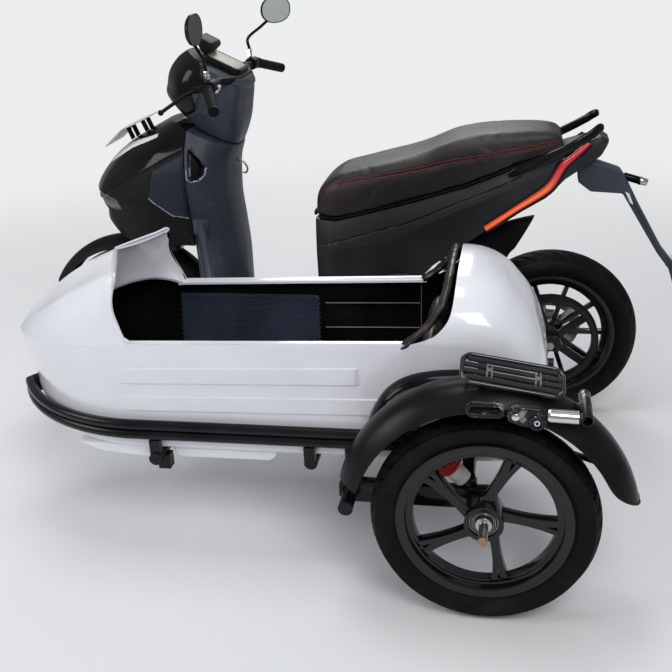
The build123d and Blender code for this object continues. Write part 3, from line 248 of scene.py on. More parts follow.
# finishes: colour, roughness, grain, its depth, colour changes, gloss changes
whiteGloss = weave(
    "whiteGloss", (0.80, 0.81, 0.86), 0.17, 140.0, 0.02, 0.03, 0.05, Coat_Weight=0.5, Coat_Roughness=0.06
)
blackGloss = weave(
    "blackGloss", (0.003, 0.003, 0.0035), 0.13, 160.0, 0.02, 0.3, 0.05, Coat_Weight=0.05, Specular_IOR_Level=0.16
)
shieldGrey = weave("shieldGrey", (0.036, 0.043, 0.060), 0.42, 900.0, 0.25, 0.16, 0.06, Specular_IOR_Level=0.34)
tailGrey = weave("tailGrey", (0.011, 0.012, 0.014), 0.44, 800.0, 0.22, 0.22, 0.06, Specular_IOR_Level=0.3)
matteBlack = weave("matteBlack", (0.0055, 0.0055, 0.006), 0.50, 420.0, 0.25, Specular_IOR_Level=0.1)
fenderBlack = weave("fenderBlack", (0.005, 0.005, 0.0055), 0.30, 380.0, 0.10, 0.25, 0.06, Specular_IOR_Level=0.15)
frameBlack = weave("frameBlack", (0.005, 0.005, 0.006), 0.24, 240.0, 0.08, 0.3, 0.08, Specular_IOR_Level=0.22)
rubberBlack = weave("rubberBlack", (0.006, 0.006, 0.006), 0.6, 500.0, 0.3, 0.3, 0.08, Specular_IOR_Level=0.12)
leatherDark = weave("leatherDark", (0.014, 0.011, 0.010), 0.40, 420.0, 0.5, 0.35, 0.1, Specular_IOR_Level=0.35)
steelBare = weave("steelBare", (0.42, 0.41, 0.39), 0.32, 300.0, 0.1, 0.2, 0.12, Metallic=1.0)
aluBare = weave("aluBare", (0.62, 0.62, 0.61), 0.30, 300.0, 0.1, 0.1, 0.1, Metallic=1.0)
chromeBright = weave("chromeBright", (0.72, 0.72, 0.73), 0.12, 90.0, 0.02, 0.05, 0.06, Metallic=1.0)
redPaint = weave("redPaint", (0.42, 0.02, 0.015), 0.28, 200.0, 0.05, 0.2, 0.08)
redLens = weave("redLens", (0.36, 0.015, 0.012), 0.12, 90.0, 0.02, 0.2, 0.04, Coat_Weight=0.5)
whiteLens = weave("whiteLens", (0.74, 0.76, 0.78), 0.10, 90.0, 0.02, 0.08, 0.04, Coat_Weight=0.5)
plateCream = weave("plateCream", (0.62, 0.59, 0.50), 0.35, 120.0, 0.02, 0.1, 0.08)
dashGlass = weave("dashGlass", (0.20, 0.18, 0.14), 0.36, 60.0, 0.02, 0.4, 0.03, Specular_IOR_Level=0.25)
# a mirror glass painted dark: a painted reflection
mirrorDarkReflection = weave("mirrorDarkReflection", (0.030, 0.036, 0.032), 0.06, 50.0, 0.01, 0.5, 0.02, Metallic=1.0)
stepBlack = weave("stepBlack", (0.013, 0.013, 0.015), 0.14, 300.0, 0.03, 0.3, 0.05, Coat_Weight=0.5)
wornSteel = Finish("wornSteel", (0.05, 0.05, 0.053), 0.26, Metallic=0.7)
rubbed = wornSteel.step(wornSteel.noise(26.0, 6.0, 0.68), 0.52, 0.62)
wornSteel.feed("Base Color", wornSteel.mix(rubbed, (0.022, 0.022, 0.024), (0.30, 0.30, 0.31)))
wornSteel.feed("Roughness", wornSteel.noise(40.0, 4.0) * 0.2 + 0.14)
wornSteel.bump(wornSteel.noise(220.0, 3.0), 0.08, 0.0005)
shockGrey = weave("shockGrey", (0.52, 0.53, 0.50), 0.30, 300.0, 0.08, 0.12, 0.08)
leatherWorn = Finish("leatherWorn", (0.018, 0.013, 0.011), 0.38)
wear = leatherWorn.step(leatherWorn.noise(14.0, 6.0, 0.66), 0.48, 0.68)
leatherWorn.feed("Base Color", leatherWorn.mix(wear, (0.012, 0.010, 0.010), (0.052, 0.034, 0.024)))
leatherWorn.feed("Roughness", wear * 0.22 + 0.28)
leatherWorn.bump(leatherWorn.noise(260.0, 5.0, 0.6), 0.35, 0.0006)
# grey for the ribs and seam on the black cockpit wall: a painted highlight
ribHighlightGrey = weave("ribHighlightGrey", (0.20, 0.19, 0.16), 0.4, 200.0, 0.05, 0.3, 0.08)


def lampFinish(name, color, roughness, glow, band, near, far, **rest):
    # a glowing lens, its colour passing from near to far over a band along X; the lamp is not lit, so its faint
    # glow is painted light
    finish = Finish(name, color, roughness, Coat_Weight=0.5, Emission_Strength=glow, **rest)
    tinted = finish.mix(finish.step(finish.axis(0), *band), near, far)
    finish.feed("Base Color", tinted)
    finish.feed("Emission Color", tinted)
    return finish


tailLens = lampFinish(
    "tailLens", (0.55, 0.03, 0.01), 0.16, 0.18, (-0.606, -0.574), (0.46, 0.006, 0.012), (0.72, 0.045, 0.008),
    Coat_Roughness=0.04,
)
tailLens.bump(tailLens.noise(420.0, 2.0, 0.5, (1.0, 1.0, 0.15)), 0.3, 0.0006)
# the middle strips glow brighter: a painted highlight line along the lens
tailHighlightGlow = lampFinish(
    "tailHighlightGlow", (0.9, 0.2, 0.05), 0.2, 0.3, (-0.606, -0.570), (0.60, 0.02, 0.04), (0.95, 0.17, 0.02)
)
stubSteel = Finish("stubSteel", (0.4, 0.4, 0.4), 0.2, Metallic=1.0)
bare = stubSteel.step(stubSteel.axis(0) + stubSteel.noise(60.0) * 0.002, -0.8370, -0.8330)
stubSteel.feed("Base Color", stubSteel.mix(bare, (0.55, 0.55, 0.54), (0.012, 0.012, 0.013)))
# a mirror glass painted pale silver: a painted reflection
mirrorBrightReflection = weave("mirrorBrightReflection", (0.62, 0.66, 0.63), 0.10, 50.0, 0.01, 0.03, 0.02, Metallic=0.2)
lensSmoke = weave("lensSmoke", (0.028, 0.031, 0.034), 0.12, 90.0, 0.05, 0.4, 0.04, Coat_Weight=0.5)
cheekDark = weave("cheekDark", (0.014, 0.018, 0.028), 0.40, 300.0, 0.06, 0.2, 0.06, Specular_IOR_Level=0.14)
# pale grey-blue laid along raised edges: a painted highlight, not a colour of the part
paintedEdgeHighlight = weave("paintedEdgeHighlight", (0.30, 0.33, 0.38), 0.3, 200.0, 0.05, 0.1, 0.06)
meshBlue = weave("meshBlue", (0.030, 0.040, 0.070), 0.34, 300.0, 0.2, 0.2, 0.08)

finishOf = {
    whiteGloss: ("sidecar_hull", "belly_pans"),
    blackGloss: ("front_apron", "handlebar_cover", "mirrors", "grab_rails", "side_rim"),
    shieldGrey: ("leg_shield",),
    matteBlack: (
        "battery_block", "motor_block", "footboard", "tail_body", "plate_holder", "rear_hugger", "seat_base",
        "bar_controls", "front_mudguard", "plate_standoffs", "arch_moulding",
    ),
    fenderBlack: ("fender", "step_plate"),
    frameBlack: (
        "scooter_frame", "head_tube", "rear_swing_arm", "fork", "handlebar", "side_rail", "cross_tubes",
        "upper_struts", "pivot_tube", "side_swing_arm", "shock_mounts", "centre_stand", "front_rim", "rear_rim",
    ),
    rubberBlack: ("drive_belt", "grips", "front_tyre", "rear_tyre", "side_tyre"),
    leatherDark: ("seat_cushion", "cockpit_trim", "cockpit_seat", "backrest"),
    steelBare: ("rear_axle", "front_axle", "front_disc", "rear_disc", "rear_pulley", "side_spindle"),
    aluBare: ("side_shock",),
    chromeBright: ("step_bracket",),
    redPaint: ("rear_shocks",),
    redLens: ("tail_lights",),
    whiteLens: ("front_lamps",),
    plateCream: ("number_plates",),
    dashGlass: ("dash",),
    meshBlue: ("mesh_panel",),
}
for finish, names in finishOf.items():
    for name in names:
        node = cadNodes[name]
        node.data.materials.clear()
        node.data.materials.append(finish.material)
print("finishes set on the packed nodes")


def spread(table, x):
    # straight lines through (x, value) pairs, flat beyond the ends
    if x <= table[0][0]:
        return table[0][1]
    for (lowX, low), (highX, high) in zip(table, table[1:]):
        if x <= highX:
            return low + (high - low) * (x - lowX) / (highX - lowX)
    return table[-1][1]


def curveThrough(table, x):
    # a smooth curve through (x, value) pairs, flat beyond the ends
    if x <= table[0][0]:
        return table[0][1]
    if x >= table[-1][0]:
        return table[-1][1]
    for i in range(len(table) - 1):
        if x <= table[i + 1][0]:
            (x0, y0), (x1, y1) = table[i], table[i + 1]
            before, after = table[max(i - 1, 0)], table[min(i + 2, len(table) - 1)]
            slope0 = (y1 - before[1]) / (x1 - before[0])
            slope1 = (after[1] - y0) / (after[0] - x0)
            width = x1 - x0
            t = (x - x0) / width
            return (
                (2 * t ** 3 - 3 * t ** 2 + 1) * y0 + (t ** 3 - 2 * t ** 2 + t) * width * slope0
                + (3 * t ** 2 - 2 * t ** 3) * y1 + (t ** 3 - t ** 2) * width * slope1
            )


def pieceFrom(build, name):
    # the mesh under construction becomes a piece whose faces point out
    bmesh.ops.recalc_face_normals(build, faces=build.faces)
    mesh = bpy.data.meshes.new(name)
    build.to_mesh(mesh)
    build.free()
    piece = bpy.data.objects.new(name, mesh)
    bpy.context.scene.collection.objects.link(piece)
    return piece


def gridPiece(name, rows, closeU=False, closeV=False, mirrorY=None):
    # rows of points in mm, joined into a sheet of quads; mirrorY adds the other half about that Y
    build = bmesh.new()
    for half in ((1,) if mirrorY is None else (1, -1)):
        net = [
            [build.verts.new(at(x, y if half > 0 else 2 * mirrorY - y, z)) for x, y, z in row] for row in rows
        ]
        rowCount, colCount = len(net), len(net[0])
        for r in range(rowCount if closeV else rowCount - 1):
            for c in range(colCount if closeU else colCount - 1):
                quad = [
                    net[r][c], net[r][(c + 1) % colCount],
                    net[(r + 1) % rowCount][(c + 1) % colCount], net[(r + 1) % rowCount][c],
                ]
                build.faces.new(quad if half > 0 else quad[::-1])
    bmesh.ops.remove_doubles(build, verts=build.verts, dist=0.00002)
    return pieceFrom(build, name)


def only(piece):
    bpy.ops.object.select_all(action="DESELECT")
    piece.select_set(True)
    bpy.context.view_layer.objects.active = piece


def modify(piece, kind, **settings):
    only(piece)
    modifier = piece.modifiers.new(kind.lower(), kind)
    for key, value in settings.items():
        setattr(modifier, key, value)
    bpy.ops.object.modifier_apply(modifier=modifier.name)


def smooth(piece, angle=35):
    only(piece)
    bpy.ops.object.shade_smooth_by_angle(angle=radians(angle))


def settle(piece, body, finish, stands=()):
    # gives a piece its finish and body; stands names the imported nodes that it replaces
    if finish is not None:
        piece.data.materials.clear()
        piece.data.materials.append(finish.material)
    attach(piece, body)
    if stands:
        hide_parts(*stands)
    return piece


# sidecar hull: a boat of squared sections with a rounded tail, a pointed bow and a cowl
hull = {
    "middle": 698.0, "floor": 300.0, "rim": 584, "sheerFrom": 984, "straightTo": 1000.0, "bow": 1371,
    "sideFrom": 330, "noseTall": 226, "wall": 4.5, "mergeWithin": 0.0009,
    "bands": ((401, 443, 398), (478, 520, 445)),  # low edge, high edge, rear end
    "bandFront": 1013, "bandDepth": -3.4, "bandRise": 0.0192,  # a negative depth stands out
    "domeFrom": 322.0, "tail": 25.0, "domeRim": 602, "crown": 732, "squareness": 4.2,
    "endTop": (436, 535, 31, 0.667),  # lowest and highest top of the flat end, its X and half width
    "side": ((300, 199), (392, 200.5), (460, 210), (526, 219), (590, 225), (620, 226)),
    "nose": ((300, 1330), (359, 1344), (406, 1345), (449, 1360), (497, 1370), (526, 1372), (600, 1372)),
    "domeTop": (
        (31, 535), (47, 588), (69, 631), (98, 667), (126, 697), (160, 718), (199, 730), (240, 732), (330, 732),
    ),
    "arch": (  # share of the way up, half width, height
        (0, 225, 602), (0.16, 221, 634), (0.32, 209, 662), (0.48, 186, 688), (0.62, 156, 710),
        (0.76, 112, 725), (0.88, 60, 731), (1, 0, 732),
    ),
    "hoop": ((602, 330), (610, 300), (618, 280), (651, 249), (680, 238), (732, 232)),
    "sheer": ((984, 584), (1080, 574), (1180, 560), (1280, 543), (1371, 526)),
    "crease": (
        (1005, 190, 735), (1049, 175, 721), (1111, 155, 691), (1186, 130, 650), (1262, 85, 602), (1325, 42, 558),
        (1371, 0, 526),
    ),
    "ridge": ((1075, 742), (1134, 717), (1204, 677), (1250, 644), (1321, 584), (1350, 552), (1371, 526)),
    "cowlEdge": ((584, 984), (622, 1000), (655, 1013), (690, 1015), (735, 1005)),
}
sideTall = hull["rim"] - hull["floor"]


def bowHalf(x, z):
    # half width of the level at height z, at x ahead of the straight sides
    wide, reach = spread(hull["side"], z), spread(hull["nose"], z) - hull["straightTo"]
    radius = (reach ** 2 + wide ** 2) / (2 * wide)
    ahead = clamp(x - hull["straightTo"], 0, reach)
    return sqrt(max(radius ** 2 - ahead ** 2, 0)) - (radius - wide)


def bandDip(x, level):
    # how far the two bands set the side in; they are raised, so it is negative
    dip = 0
    for low, high, tail in hull["bands"]:
        inside = clamp((level - low) / 1.5) * clamp((high - level) / 1.5)
        ends = clamp((hull["bandFront"] - x) / 10) * clamp((x - tail) / 10)
        dip = max(dip, inside * ends)
    return dip * hull["bandDepth"]


def bandLift(x):
    # the bands and the cockpit's ribs rise towards the tail
    return (hull["bandFront"] - x) * hull["bandRise"]


def sheerHeight(x):
    # height of the hull's upper edge: a straight fall along the sides, then the bow's curve
    sideFrom, sheerFrom = hull["sideFrom"], hull["sheerFrom"]
    if x >= sheerFrom:
        return curveThrough(hull["sheer"], x)
    fall = (x - sideFrom) * (hull["domeRim"] - hull["rim"]) / (sheerFrom - sideFrom)
    return hull["domeRim"] - fall if x > sideFrom else hull["domeRim"]


bandLevels = [
    300, 301.5, 306, 316, 340, 370, 395, 399.5, 401, 402.5, 404, 420, 440, 441.5, 443, 444.5, 455, 470,
    476.5, 478, 479.5, 481, 500, 517, 518.5, 520, 521.5, 540, 562, 577, 584,
]
domeTurns = [i / 26 for i in range(27)]
straightX = set([hull["domeFrom"] + 8 + i * 22.0 for i in range(31)])
straightX |= {398, 401, 405, 408, 445, 448, 452, 455, 984, 1000}  # the bands' ends and the sheer's start
straightX = [x for x in sorted(straightX) if hull["sideFrom"] <= x <= hull["straightTo"]]
bowTurns = [i / 30 for i in range(1, 31)]


def domePlace(turn):
    # share of the half width, X and top of the rounded tail; turn is 0 at its end and 1 at the sides
    power = 2 / hull["squareness"]
    angle = turn * pi / 2
    wide = sin(angle) ** power if angle > 0 else 0
    x = hull["domeFrom"] - (hull["domeFrom"] - hull["tail"]) * cos(angle) ** power
    lowest, highest, flatX, flatWide = hull["endTop"]
    if x > flatX:
        return wide, x, curveThrough(hull["domeTop"], x)
    return wide, x, lowest + (highest - lowest) * min(wide / flatWide, 1)


def sidePoint(column, level):
    # one point of the lower body; column is ("dome", turn), ("side", x) or ("bow", turn)
    kind, value = column
    floorLevel = hull["floor"]
    tuck = max(0, 6 - (level - floorLevel)) * 0.9 if level < floorLevel + 6 else 0
    if kind == "dome":
        wide, x, top = domePlace(value)
        tall = (top - floorLevel) / (hull["crown"] - floorLevel)
        z = floorLevel + (level - floorLevel) * (hull["domeRim"] - floorLevel) / sideTall * tall
        y = (spread(hull["side"], level) - tuck) * wide
        return (x, hull["middle"] + y, z)
    share = (level - floorLevel) / sideTall
    if kind == "side":
        lift = sheerHeight(value) - hull["rim"]
        slope = clamp((level - 340) / 50) * clamp((hull["rim"] - level) / 55)
        z = level + lift * share ** 2 + bandLift(value) * slope
        z = min(z, sheerHeight(value))
        y = spread(hull["side"], z) - tuck - bandDip(value, level)
        return (value, hull["middle"] + y, z)
    reach = spread(hull["nose"], floorLevel + share * hull["noseTall"])
    x = hull["straightTo"] + (reach - hull["straightTo"]) * sin(value * pi / 2)
    z = floorLevel + share * (sheerHeight(x) - floorLevel)
    y = bowHalf(x, z) if value < 1 else 0
    y = max(y - tuck - bandDip(x, level), 0)
    return (x, hull["middle"] + y, z)


columns = [("dome", turn) for turn in domeTurns] + [("side", x) for x in straightX]
columns += [("bow", turn) for turn in bowTurns]
bodyRows = [[sidePoint(column, level) for column in columns] for level in bandLevels]
floorRow = [(x, hull["middle"], z) for x, y, z in bodyRows[0]]
rimRow = bodyRows[-1]


def domeRows():
    # from the rim over the crown to the middle
    rows = []
    for share in [i / 22 for i in range(23)]:
        archY = curveThrough([(s, y) for s, y, z in hull["arch"]], share)
        archZ = curveThrough([(s, z) for s, y, z in hull["arch"]], share)
        hoop = curveThrough(hull["hoop"], archZ)
        row = []
        for turn in domeTurns:
            wide, x, top = domePlace(turn)
            z = hull["floor"] + (archZ - hull["floor"]) * (top - hull["floor"]) / (hull["crown"] - hull["floor"])
            row.append((min(x, hoop), hull["middle"] + archY * wide, z))
        row.append((hoop, hull["middle"] + archY, archZ))
        rows.append(row)
    return rows


def deckRows():
    # from the sheer over the shoulder crease to the ridge
    rows = []
    steps = [i / 34 for i in range(35)]
    creaseY = [(x, y) for x, y, z in hull["crease"]]
    creaseZ = [(x, z) for x, y, z in hull["crease"]]
    sheerFrom, creaseFrom, ridgeFrom = hull["sheerFrom"], hull["crease"][0][0], hull["ridge"][0][0]

    def along(start, step):
        return start + (hull["bow"] - start) * step

    def creasePoint(step):
        x = along(creaseFrom, step)
        return Vector((x, curveThrough(creaseY, x), curveThrough(creaseZ, x)))
    for share in [i / 9 for i in range(10)]:
        row = []
        for step in steps:
            lowX = along(sheerFrom, step)
            low = Vector((lowX, bowHalf(lowX, sheerHeight(lowX)) if step < 1 else 0, sheerHeight(lowX)))
            point = low.lerp(creasePoint(step), share)
            point.y += sin(share * pi) * 7 * min(1, (1 - step) * 4)
            if step < 0.12:
                # the cowl's rear edge is bowed
                edgeX = curveThrough(hull["cowlEdge"], point.z)
                point.x += (edgeX - (sheerFrom + 21 * share)) * (1 - step / 0.12)
            row.append((point.x, hull["middle"] + point.y, point.z))
        rows.append(row)
    for share in [0.02, 0.06] + [i / 8 for i in range(1, 9)]:
        row = []
        for step in steps:
            highX = along(ridgeFrom, step)
            point = creasePoint(step).lerp(Vector((highX, 0, curveThrough(hull["ridge"], highX))), share)
            point.z -= sin(share * pi) * 5 * min(1, (1 - step) * 3)
            if share <= 0.06:
                point.z -= 3.0 * min(1, (1 - step) * 5) * (share / 0.06)
            row.append((point.x, hull["middle"] + point.y, point.z))
        rows.append(row)
    return rows


def cowlRows():
    # the panel behind the cowl, from its outer edge in to its inner one
    outer = [
        (984, 225, 584), (1000, 214, 622), (1013, 205, 655), (1015, 197, 690), (1005, 190, 735), (1022, 143, 737),
        (1040, 95, 739), (1058, 47, 740.5), (1075, 0, 742),
    ]
    inner = [
        (986, 199, 581), (1000, 195, 588), (1013, 189, 594), (1028, 180, 600), (1048, 161, 608), (1070, 125, 616),
        (1092, 84, 620), (1110, 42, 621), (1118, 0, 621),
    ]
    rows = []
    for share in (0, 0.03, 0.08, 0.3, 0.55, 0.8, 0.94, 1.0, 1.02):
        coarse = []
        for first, last in zip(outer, inner):
            point = Vector(first).lerp(Vector(last), min(share, 1))
            point.x += sin(min(share, 1) * pi) * 9
            if 0 < share < 0.1:
                point.z += 1.5
            if share > 1:
                point.x += 6
                point.z -= 5
            coarse.append((point.x, hull["middle"] + point.y, point.z))
        fine = []
        for i in range(len(coarse) - 1):
            for t in (0, 0.33, 0.67):
                fine.append(tuple(
                    curveThrough([(k, spot[axis]) for k, spot in enumerate(coarse)], i + t) for axis in range(3)
                ))
        rows.append(fine + [coarse[-1]])
    return rows


def makeHull():
    lower = gridPiece("hullLower", [floorRow] + bodyRows, mirrorY=hull["middle"])
    dome = gridPiece("hullDome", domeRows(), mirrorY=hull["middle"])
    deck = gridPiece("hullDeck", deckRows(), mirrorY=hull["middle"])
    flangeRows = [
        [(x, y - inset, z + drop) for x, y, z in rimRow[len(domeTurns):] if x <= 1001]
        for inset, drop in ((0, 0), (2, -0.6), (12, -1.2), (24, -1.2), (26, -3), (26.5, -9))
    ]
    flange = gridPiece("hullFlange", flangeRows, mirrorY=hull["middle"])
    panel = gridPiece("cowlPanel", cowlRows(), mirrorY=hull["middle"])
    for face in panel.data.polygons:
        if face.normal.x > 0:
            face.flip()
    modify(panel, "SOLIDIFY", thickness=hull["wall"] / 1000, offset=-1, use_rim=True)
    smooth(panel, 40)
    settle(panel, "chassis", whiteGloss, ())
    only(lower)
    for piece in (dome, deck, flange):
        piece.select_set(True)
    bpy.ops.object.join()
    bpy.ops.object.mode_set(mode="EDIT")
    bpy.ops.mesh.select_all(action="SELECT")
    bpy.ops.mesh.remove_doubles(threshold=hull["mergeWithin"])
    bpy.ops.mesh.normals_make_consistent(inside=False)
    bpy.ops.object.mode_set(mode="OBJECT")
    lower.name = "hullShell"
    # white outside, black inside
    lower.data.materials.append(whiteGloss.material)
    lower.data.materials.append(blackGloss.material)
    modify(lower, "SOLIDIFY", thickness=hull["wall"] / 1000, offset=-1, material_offset=1, use_rim=True)
    smooth(lower, 32)
    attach(lower, "chassis")
    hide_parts("sidecar_hull")


makeHull()
print("hull ready")

# tyres: hub (x, y), radius, width and rim in mm; slant is how far the cuts lean, in pitches
tyres = {
    "side": {
        "hub": (159, 1040), "radius": 250, "width": 80, "rim": 60, "pitches": 40, "slant": 0.9,
        "body": "side_wheel", "node": "side_tyre",
    },
    "rear": {
        "hub": (0, 0), "radius": 259, "width": 116, "rim": 80, "pitches": 34, "slant": 1.5,
        "body": "rear_wheel", "node": "rear_tyre",
    },
    "front": {
        "hub": (1335, 0), "radius": 258, "width": 98, "rim": 66, "pitches": 38, "slant": 1.3,
        "body": "front_wheel", "node": "front_tyre",
    },
}
carcass = {
    "beadInset": 6.3, "foot": 178.8, "wallTop": 195.0, "treadHalf": 0.415, "tread": 3.4, "cutsPerPitch": 12,
    "rings": ((0.10, 0.8), (0.34, 0.6), (0.40, 0.6), (0.70, 0.6)),  # share up the wall, height in mm
}


def grooveDepth(across, turn, slant):
    # across -1..1 over the tread, turn in pitches; slanted cuts, half a pitch apart left and right
    side = 1 if across >= 0 else -1
    reach = abs(across)
    local = (turn + (0.5 if side < 0 else 0) - reach * slant) % 1
    depth = 0
    if 0.10 < reach < 0.96:
        near = min(local, 1 - local)
        depth = max(depth, 1 - clamp((near - 0.055) / 0.045))
    second = (turn + (0.5 if side < 0 else 0) + 0.42 - reach * slant * 0.35) % 1
    if 0.42 < reach < 0.80:
        near = min(second, 1 - second)
        depth = max(depth, 0.8 - clamp((near - 0.035) / 0.04, 0, 0.8))
    return depth


def makeTyre(key, spec):
    radius, width = spec["radius"], spec["width"]
    bead, wallTop = spec["rim"] / 2 - carcass["beadInset"], carcass["wallTop"]
    shoulder = radius - 0.16 * width
    half = [(bead, carcass["foot"]), (bead, 184), (bead, 190), (bead + 0.4, wallTop)]
    for i in range(1, 32):
        t = i / 32
        # sidewall: a bulge from the bead to the shoulder, with raised rings
        y = bead + (width / 2 - bead) * sin(min(t * 1.15, 1) * pi / 2)
        lift = sum(high * max(0, 1 - abs(t - place) / 0.026) for place, high in carcass["rings"])
        y = y if t < 0.87 else y - (t - 0.86) * 0.06 * width
        half.append((y + lift, wallTop + (shoulder - wallTop) * t))
    half.append((0.47 * width, shoulder - 1.5))
    treadFrom = len(half)
    for i in range(0, 15):
        share = 1 - i / 14
        half.append((carcass["treadHalf"] * width * share, radius - (radius - shoulder) * (share ** 2.1)))
    steps = spec["pitches"] * carcass["cutsPerPitch"]
    profile = half + [(-y, r) for y, r in reversed(half[:-1])]
    rows = []
    for index, (y, r) in enumerate(profile):
        row = []
        onTread = treadFrom <= index < len(profile) - treadFrom
        for step in range(steps):
            turn = step / steps
            cut = 0
            if onTread:
                cut = carcass["tread"] * grooveDepth(y / (0.42 * width), turn * spec["pitches"], spec["slant"])
            angle = turn * 2 * pi
            row.append((
                spec["hub"][0] + (r - cut) * cos(angle), spec["hub"][1] + y, radius + (r - cut) * sin(angle)
            ))
        rows.append(row)
    piece = gridPiece(key + "Tyre", rows, closeU=True, closeV=True)
    smooth(piece, 38)
    settle(piece, spec["body"], tyreRubber, (spec["node"],))


tyreRubber = Finish("tyreRubber", (0.008, 0.008, 0.008), 0.72, Specular_IOR_Level=0.1)
dust = tyreRubber.step(tyreRubber.noise(9.0, 5.0, 0.62), 0.46, 0.72)
tyreRubber.feed("Base Color", tyreRubber.mix(dust, (0.005, 0.005, 0.005), (0.018, 0.016, 0.014)))
tyreRubber.feed("Roughness", dust * 0.25 + 0.6)
tyreRubber.bump(tyreRubber.noise(600.0, 2.0), 0.25, 0.0004)
for key, spec in tyres.items():
    makeTyre(key, spec)
print("tyres ready")

# seat: a long stepped cushion with a sewn red line along each side
seat = {
    "top": (
        (-20, 862), (-12, 876), (4, 886), (57, 891), (120, 890.5), (190, 887), (250, 879), (294, 868), (370, 838),
        (430, 820), (468, 811), (540, 794), (600, 780), (625, 773), (655, 756), (680, 736), (694, 716), (699, 690),
    ),
    "under": ((-20, 846), (22, 833), (121, 800.5), (251, 752.5), (455, 696.5), (631, 651), (699, 651)),
    "half": (
        (-20, 84), (10, 96), (60, 108), (150, 125), (250, 134), (330, 139), (400, 143), (500, 141), (600, 130),
        (650, 120), (690, 100), (699, 92),
    ),
    "sewnAt": ((-20, 0.45), (60, 0.42), (200, 0.5), (320, 0.62), (420, 0.72), (560, 0.80), (700, 0.82)),
    "narrow": 0.975, "seamReach": 0.10, "seamDeep": 0.0020, "cap": 0.005,
    "stitch": 5.0, "stitchGap": 7.6, "thread": 0.85, "rows": (0, 8), "sewn": (-4.0, 686), "proud": 0.0006,
}


def seatRise(reach):
    # share of the height at this share of the half width
    return (1 - reach ** 3.0) ** (1 / 1.9)


def seatPoint(x, turn):
    # turn 0 at the left bottom edge, 1 at the right one
    low, high = curveThrough(seat["under"], x), curveThrough(seat["top"], x)
    half = curveThrough(seat["half"], x)
    side = 1 - 2 * turn
    reach = abs(side)
    y = (1 if side >= 0 else -1) * half * (1 - (1 - reach) ** 3.2) * seat["narrow"]
    return Vector((x, y, low + (high - low) * seatRise(reach)))


def makeSeat():
    xs = [-20, -19.2, -17, -13, -7, 2] + [12 + i * 11.5 for i in range(57)] + [664, 674, 683, 690, 695, 698, 699]
    turns = [0.5 - 0.5 * cos(pi * i / 64) for i in range(65)]
    rows = []
    for x in xs:
        low = curveThrough(seat["under"], x)
        half = curveThrough(seat["half"], x) * seat["narrow"]
        under = [(x, half * (1 - 2 * (i / 8)), low) for i in range(1, 8)]
        rows.append([tuple(seatPoint(x, turn)) for turn in turns] + under[::-1])
    piece = gridPiece("seatCushion", rows, closeU=True)
    only(piece)
    bpy.ops.object.mode_set(mode="EDIT")
    bpy.ops.mesh.select_all(action="DESELECT")
    bpy.ops.mesh.select_non_manifold()
    bpy.ops.mesh.edge_face_add()
    bpy.ops.mesh.normals_make_consistent(inside=False)
    bpy.ops.object.mode_set(mode="OBJECT")
    puffed(piece, seat["cap"])
    modify(piece, "SUBSURF", levels=1, render_levels=1)
    for vertex in piece.data.vertices:
        # the underside stays flat on its base
        x = (vertex.co.x - shiftX) * 1000
        vertex.co.z = max(vertex.co.z, curveThrough(seat["under"], clamp(x, -20, 699)) / 1000)
    for vertex in piece.data.vertices:
        # the seam is pressed in
        spot = vertex.co
        x = (spot.x - shiftX) * 1000
        low, high = curveThrough(seat["under"], x), curveThrough(seat["top"], x)
        away = abs((spot.z * 1000 - low) / max(high - low, 1) - spread(seat["sewnAt"], x))
        if away < seat["seamReach"]:
            side = 1 if (spot.y - shiftY) > 0 else -1
            spot.y -= side * seat["seamDeep"] * (1 - away / seat["seamReach"])
    smooth(piece, 60)
    settle(piece, "seat", seatLeather, ("seat_cushion",))
    return piece


def seamPoint(x, side):
    # the place on the cushion's side at the seam's height, found by halving
    low, high = 0.0, 0.5
    for step in range(30):
        middle = (low + high) / 2
        if seatRise(1 - 2 * middle) < spread(seat["sewnAt"], x):
            low = middle
        else:
            high = middle
    point = seatPoint(x, low)
    return Vector((point.x, side * abs(point.y), point.z))


def makeStitches(cushion):
    # two sewn rows a side, laid on the swollen surface
    build = bmesh.new()
    for side, raised in [(side, raised) for side in (-1, 1) for raised in seat["rows"]]:
        x, last = seat["sewn"]
        while x < last:
            rings = []
            for along, thick in ((0, 0.5), (0.5, 1), (1, 0.5)):
                goal = at(*(seamPoint(x + seat["stitch"] * along, side) + Vector((0, 0, raised))))
                near, normal = cushion.closest_point_on_mesh(goal)[1:3]
                spot = near + normal * seat["proud"]
                size = seat["thread"] / 1000 * thick
                rings.append([
                    build.verts.new(spot + Vector((0, cos(a) * size, sin(a) * size)))
                    for a in (0, pi / 2, pi, 3 * pi / 2)
                ])
            for a, b in zip(rings, rings[1:]):
                for k in range(4):
                    build.faces.new((a[k], a[(k + 1) % 4], b[(k + 1) % 4], b[k]))
            build.faces.new(rings[0])
            build.faces.new(list(reversed(rings[-1])))
            x += seat["stitchGap"]
    settle(pieceFrom(build, "seatStitches"), "seat", redThread, ())


seatLeather = Finish("seatLeather", (0.014, 0.011, 0.010), 0.40, Specular_IOR_Level=0.4)
cells = seatLeather.add(
    "ShaderNodeTexVoronoi", {"feature": "DISTANCE_TO_EDGE"}, Vector=seatLeather.place(), Scale=430.0
)
cloud = seatLeather.step(seatLeather.noise(6.0, 5.0, 0.6), 0.35, 0.7)
seatLeather.feed("Base Color", seatLeather.mix(cloud, (0.011, 0.009, 0.009), (0.024, 0.018, 0.015)))
seatLeather.feed("Roughness", cloud * 0.14 + 0.34)
seatLeather.bump(seatLeather.step(cells, 0.0, 0.25), 0.35, 0.0004)
redThread = weave("redThread", (0.42, 0.02, 0.02), 0.6, 900.0, 0.2, 0.3, 0.08)
print("seat finishes ready")


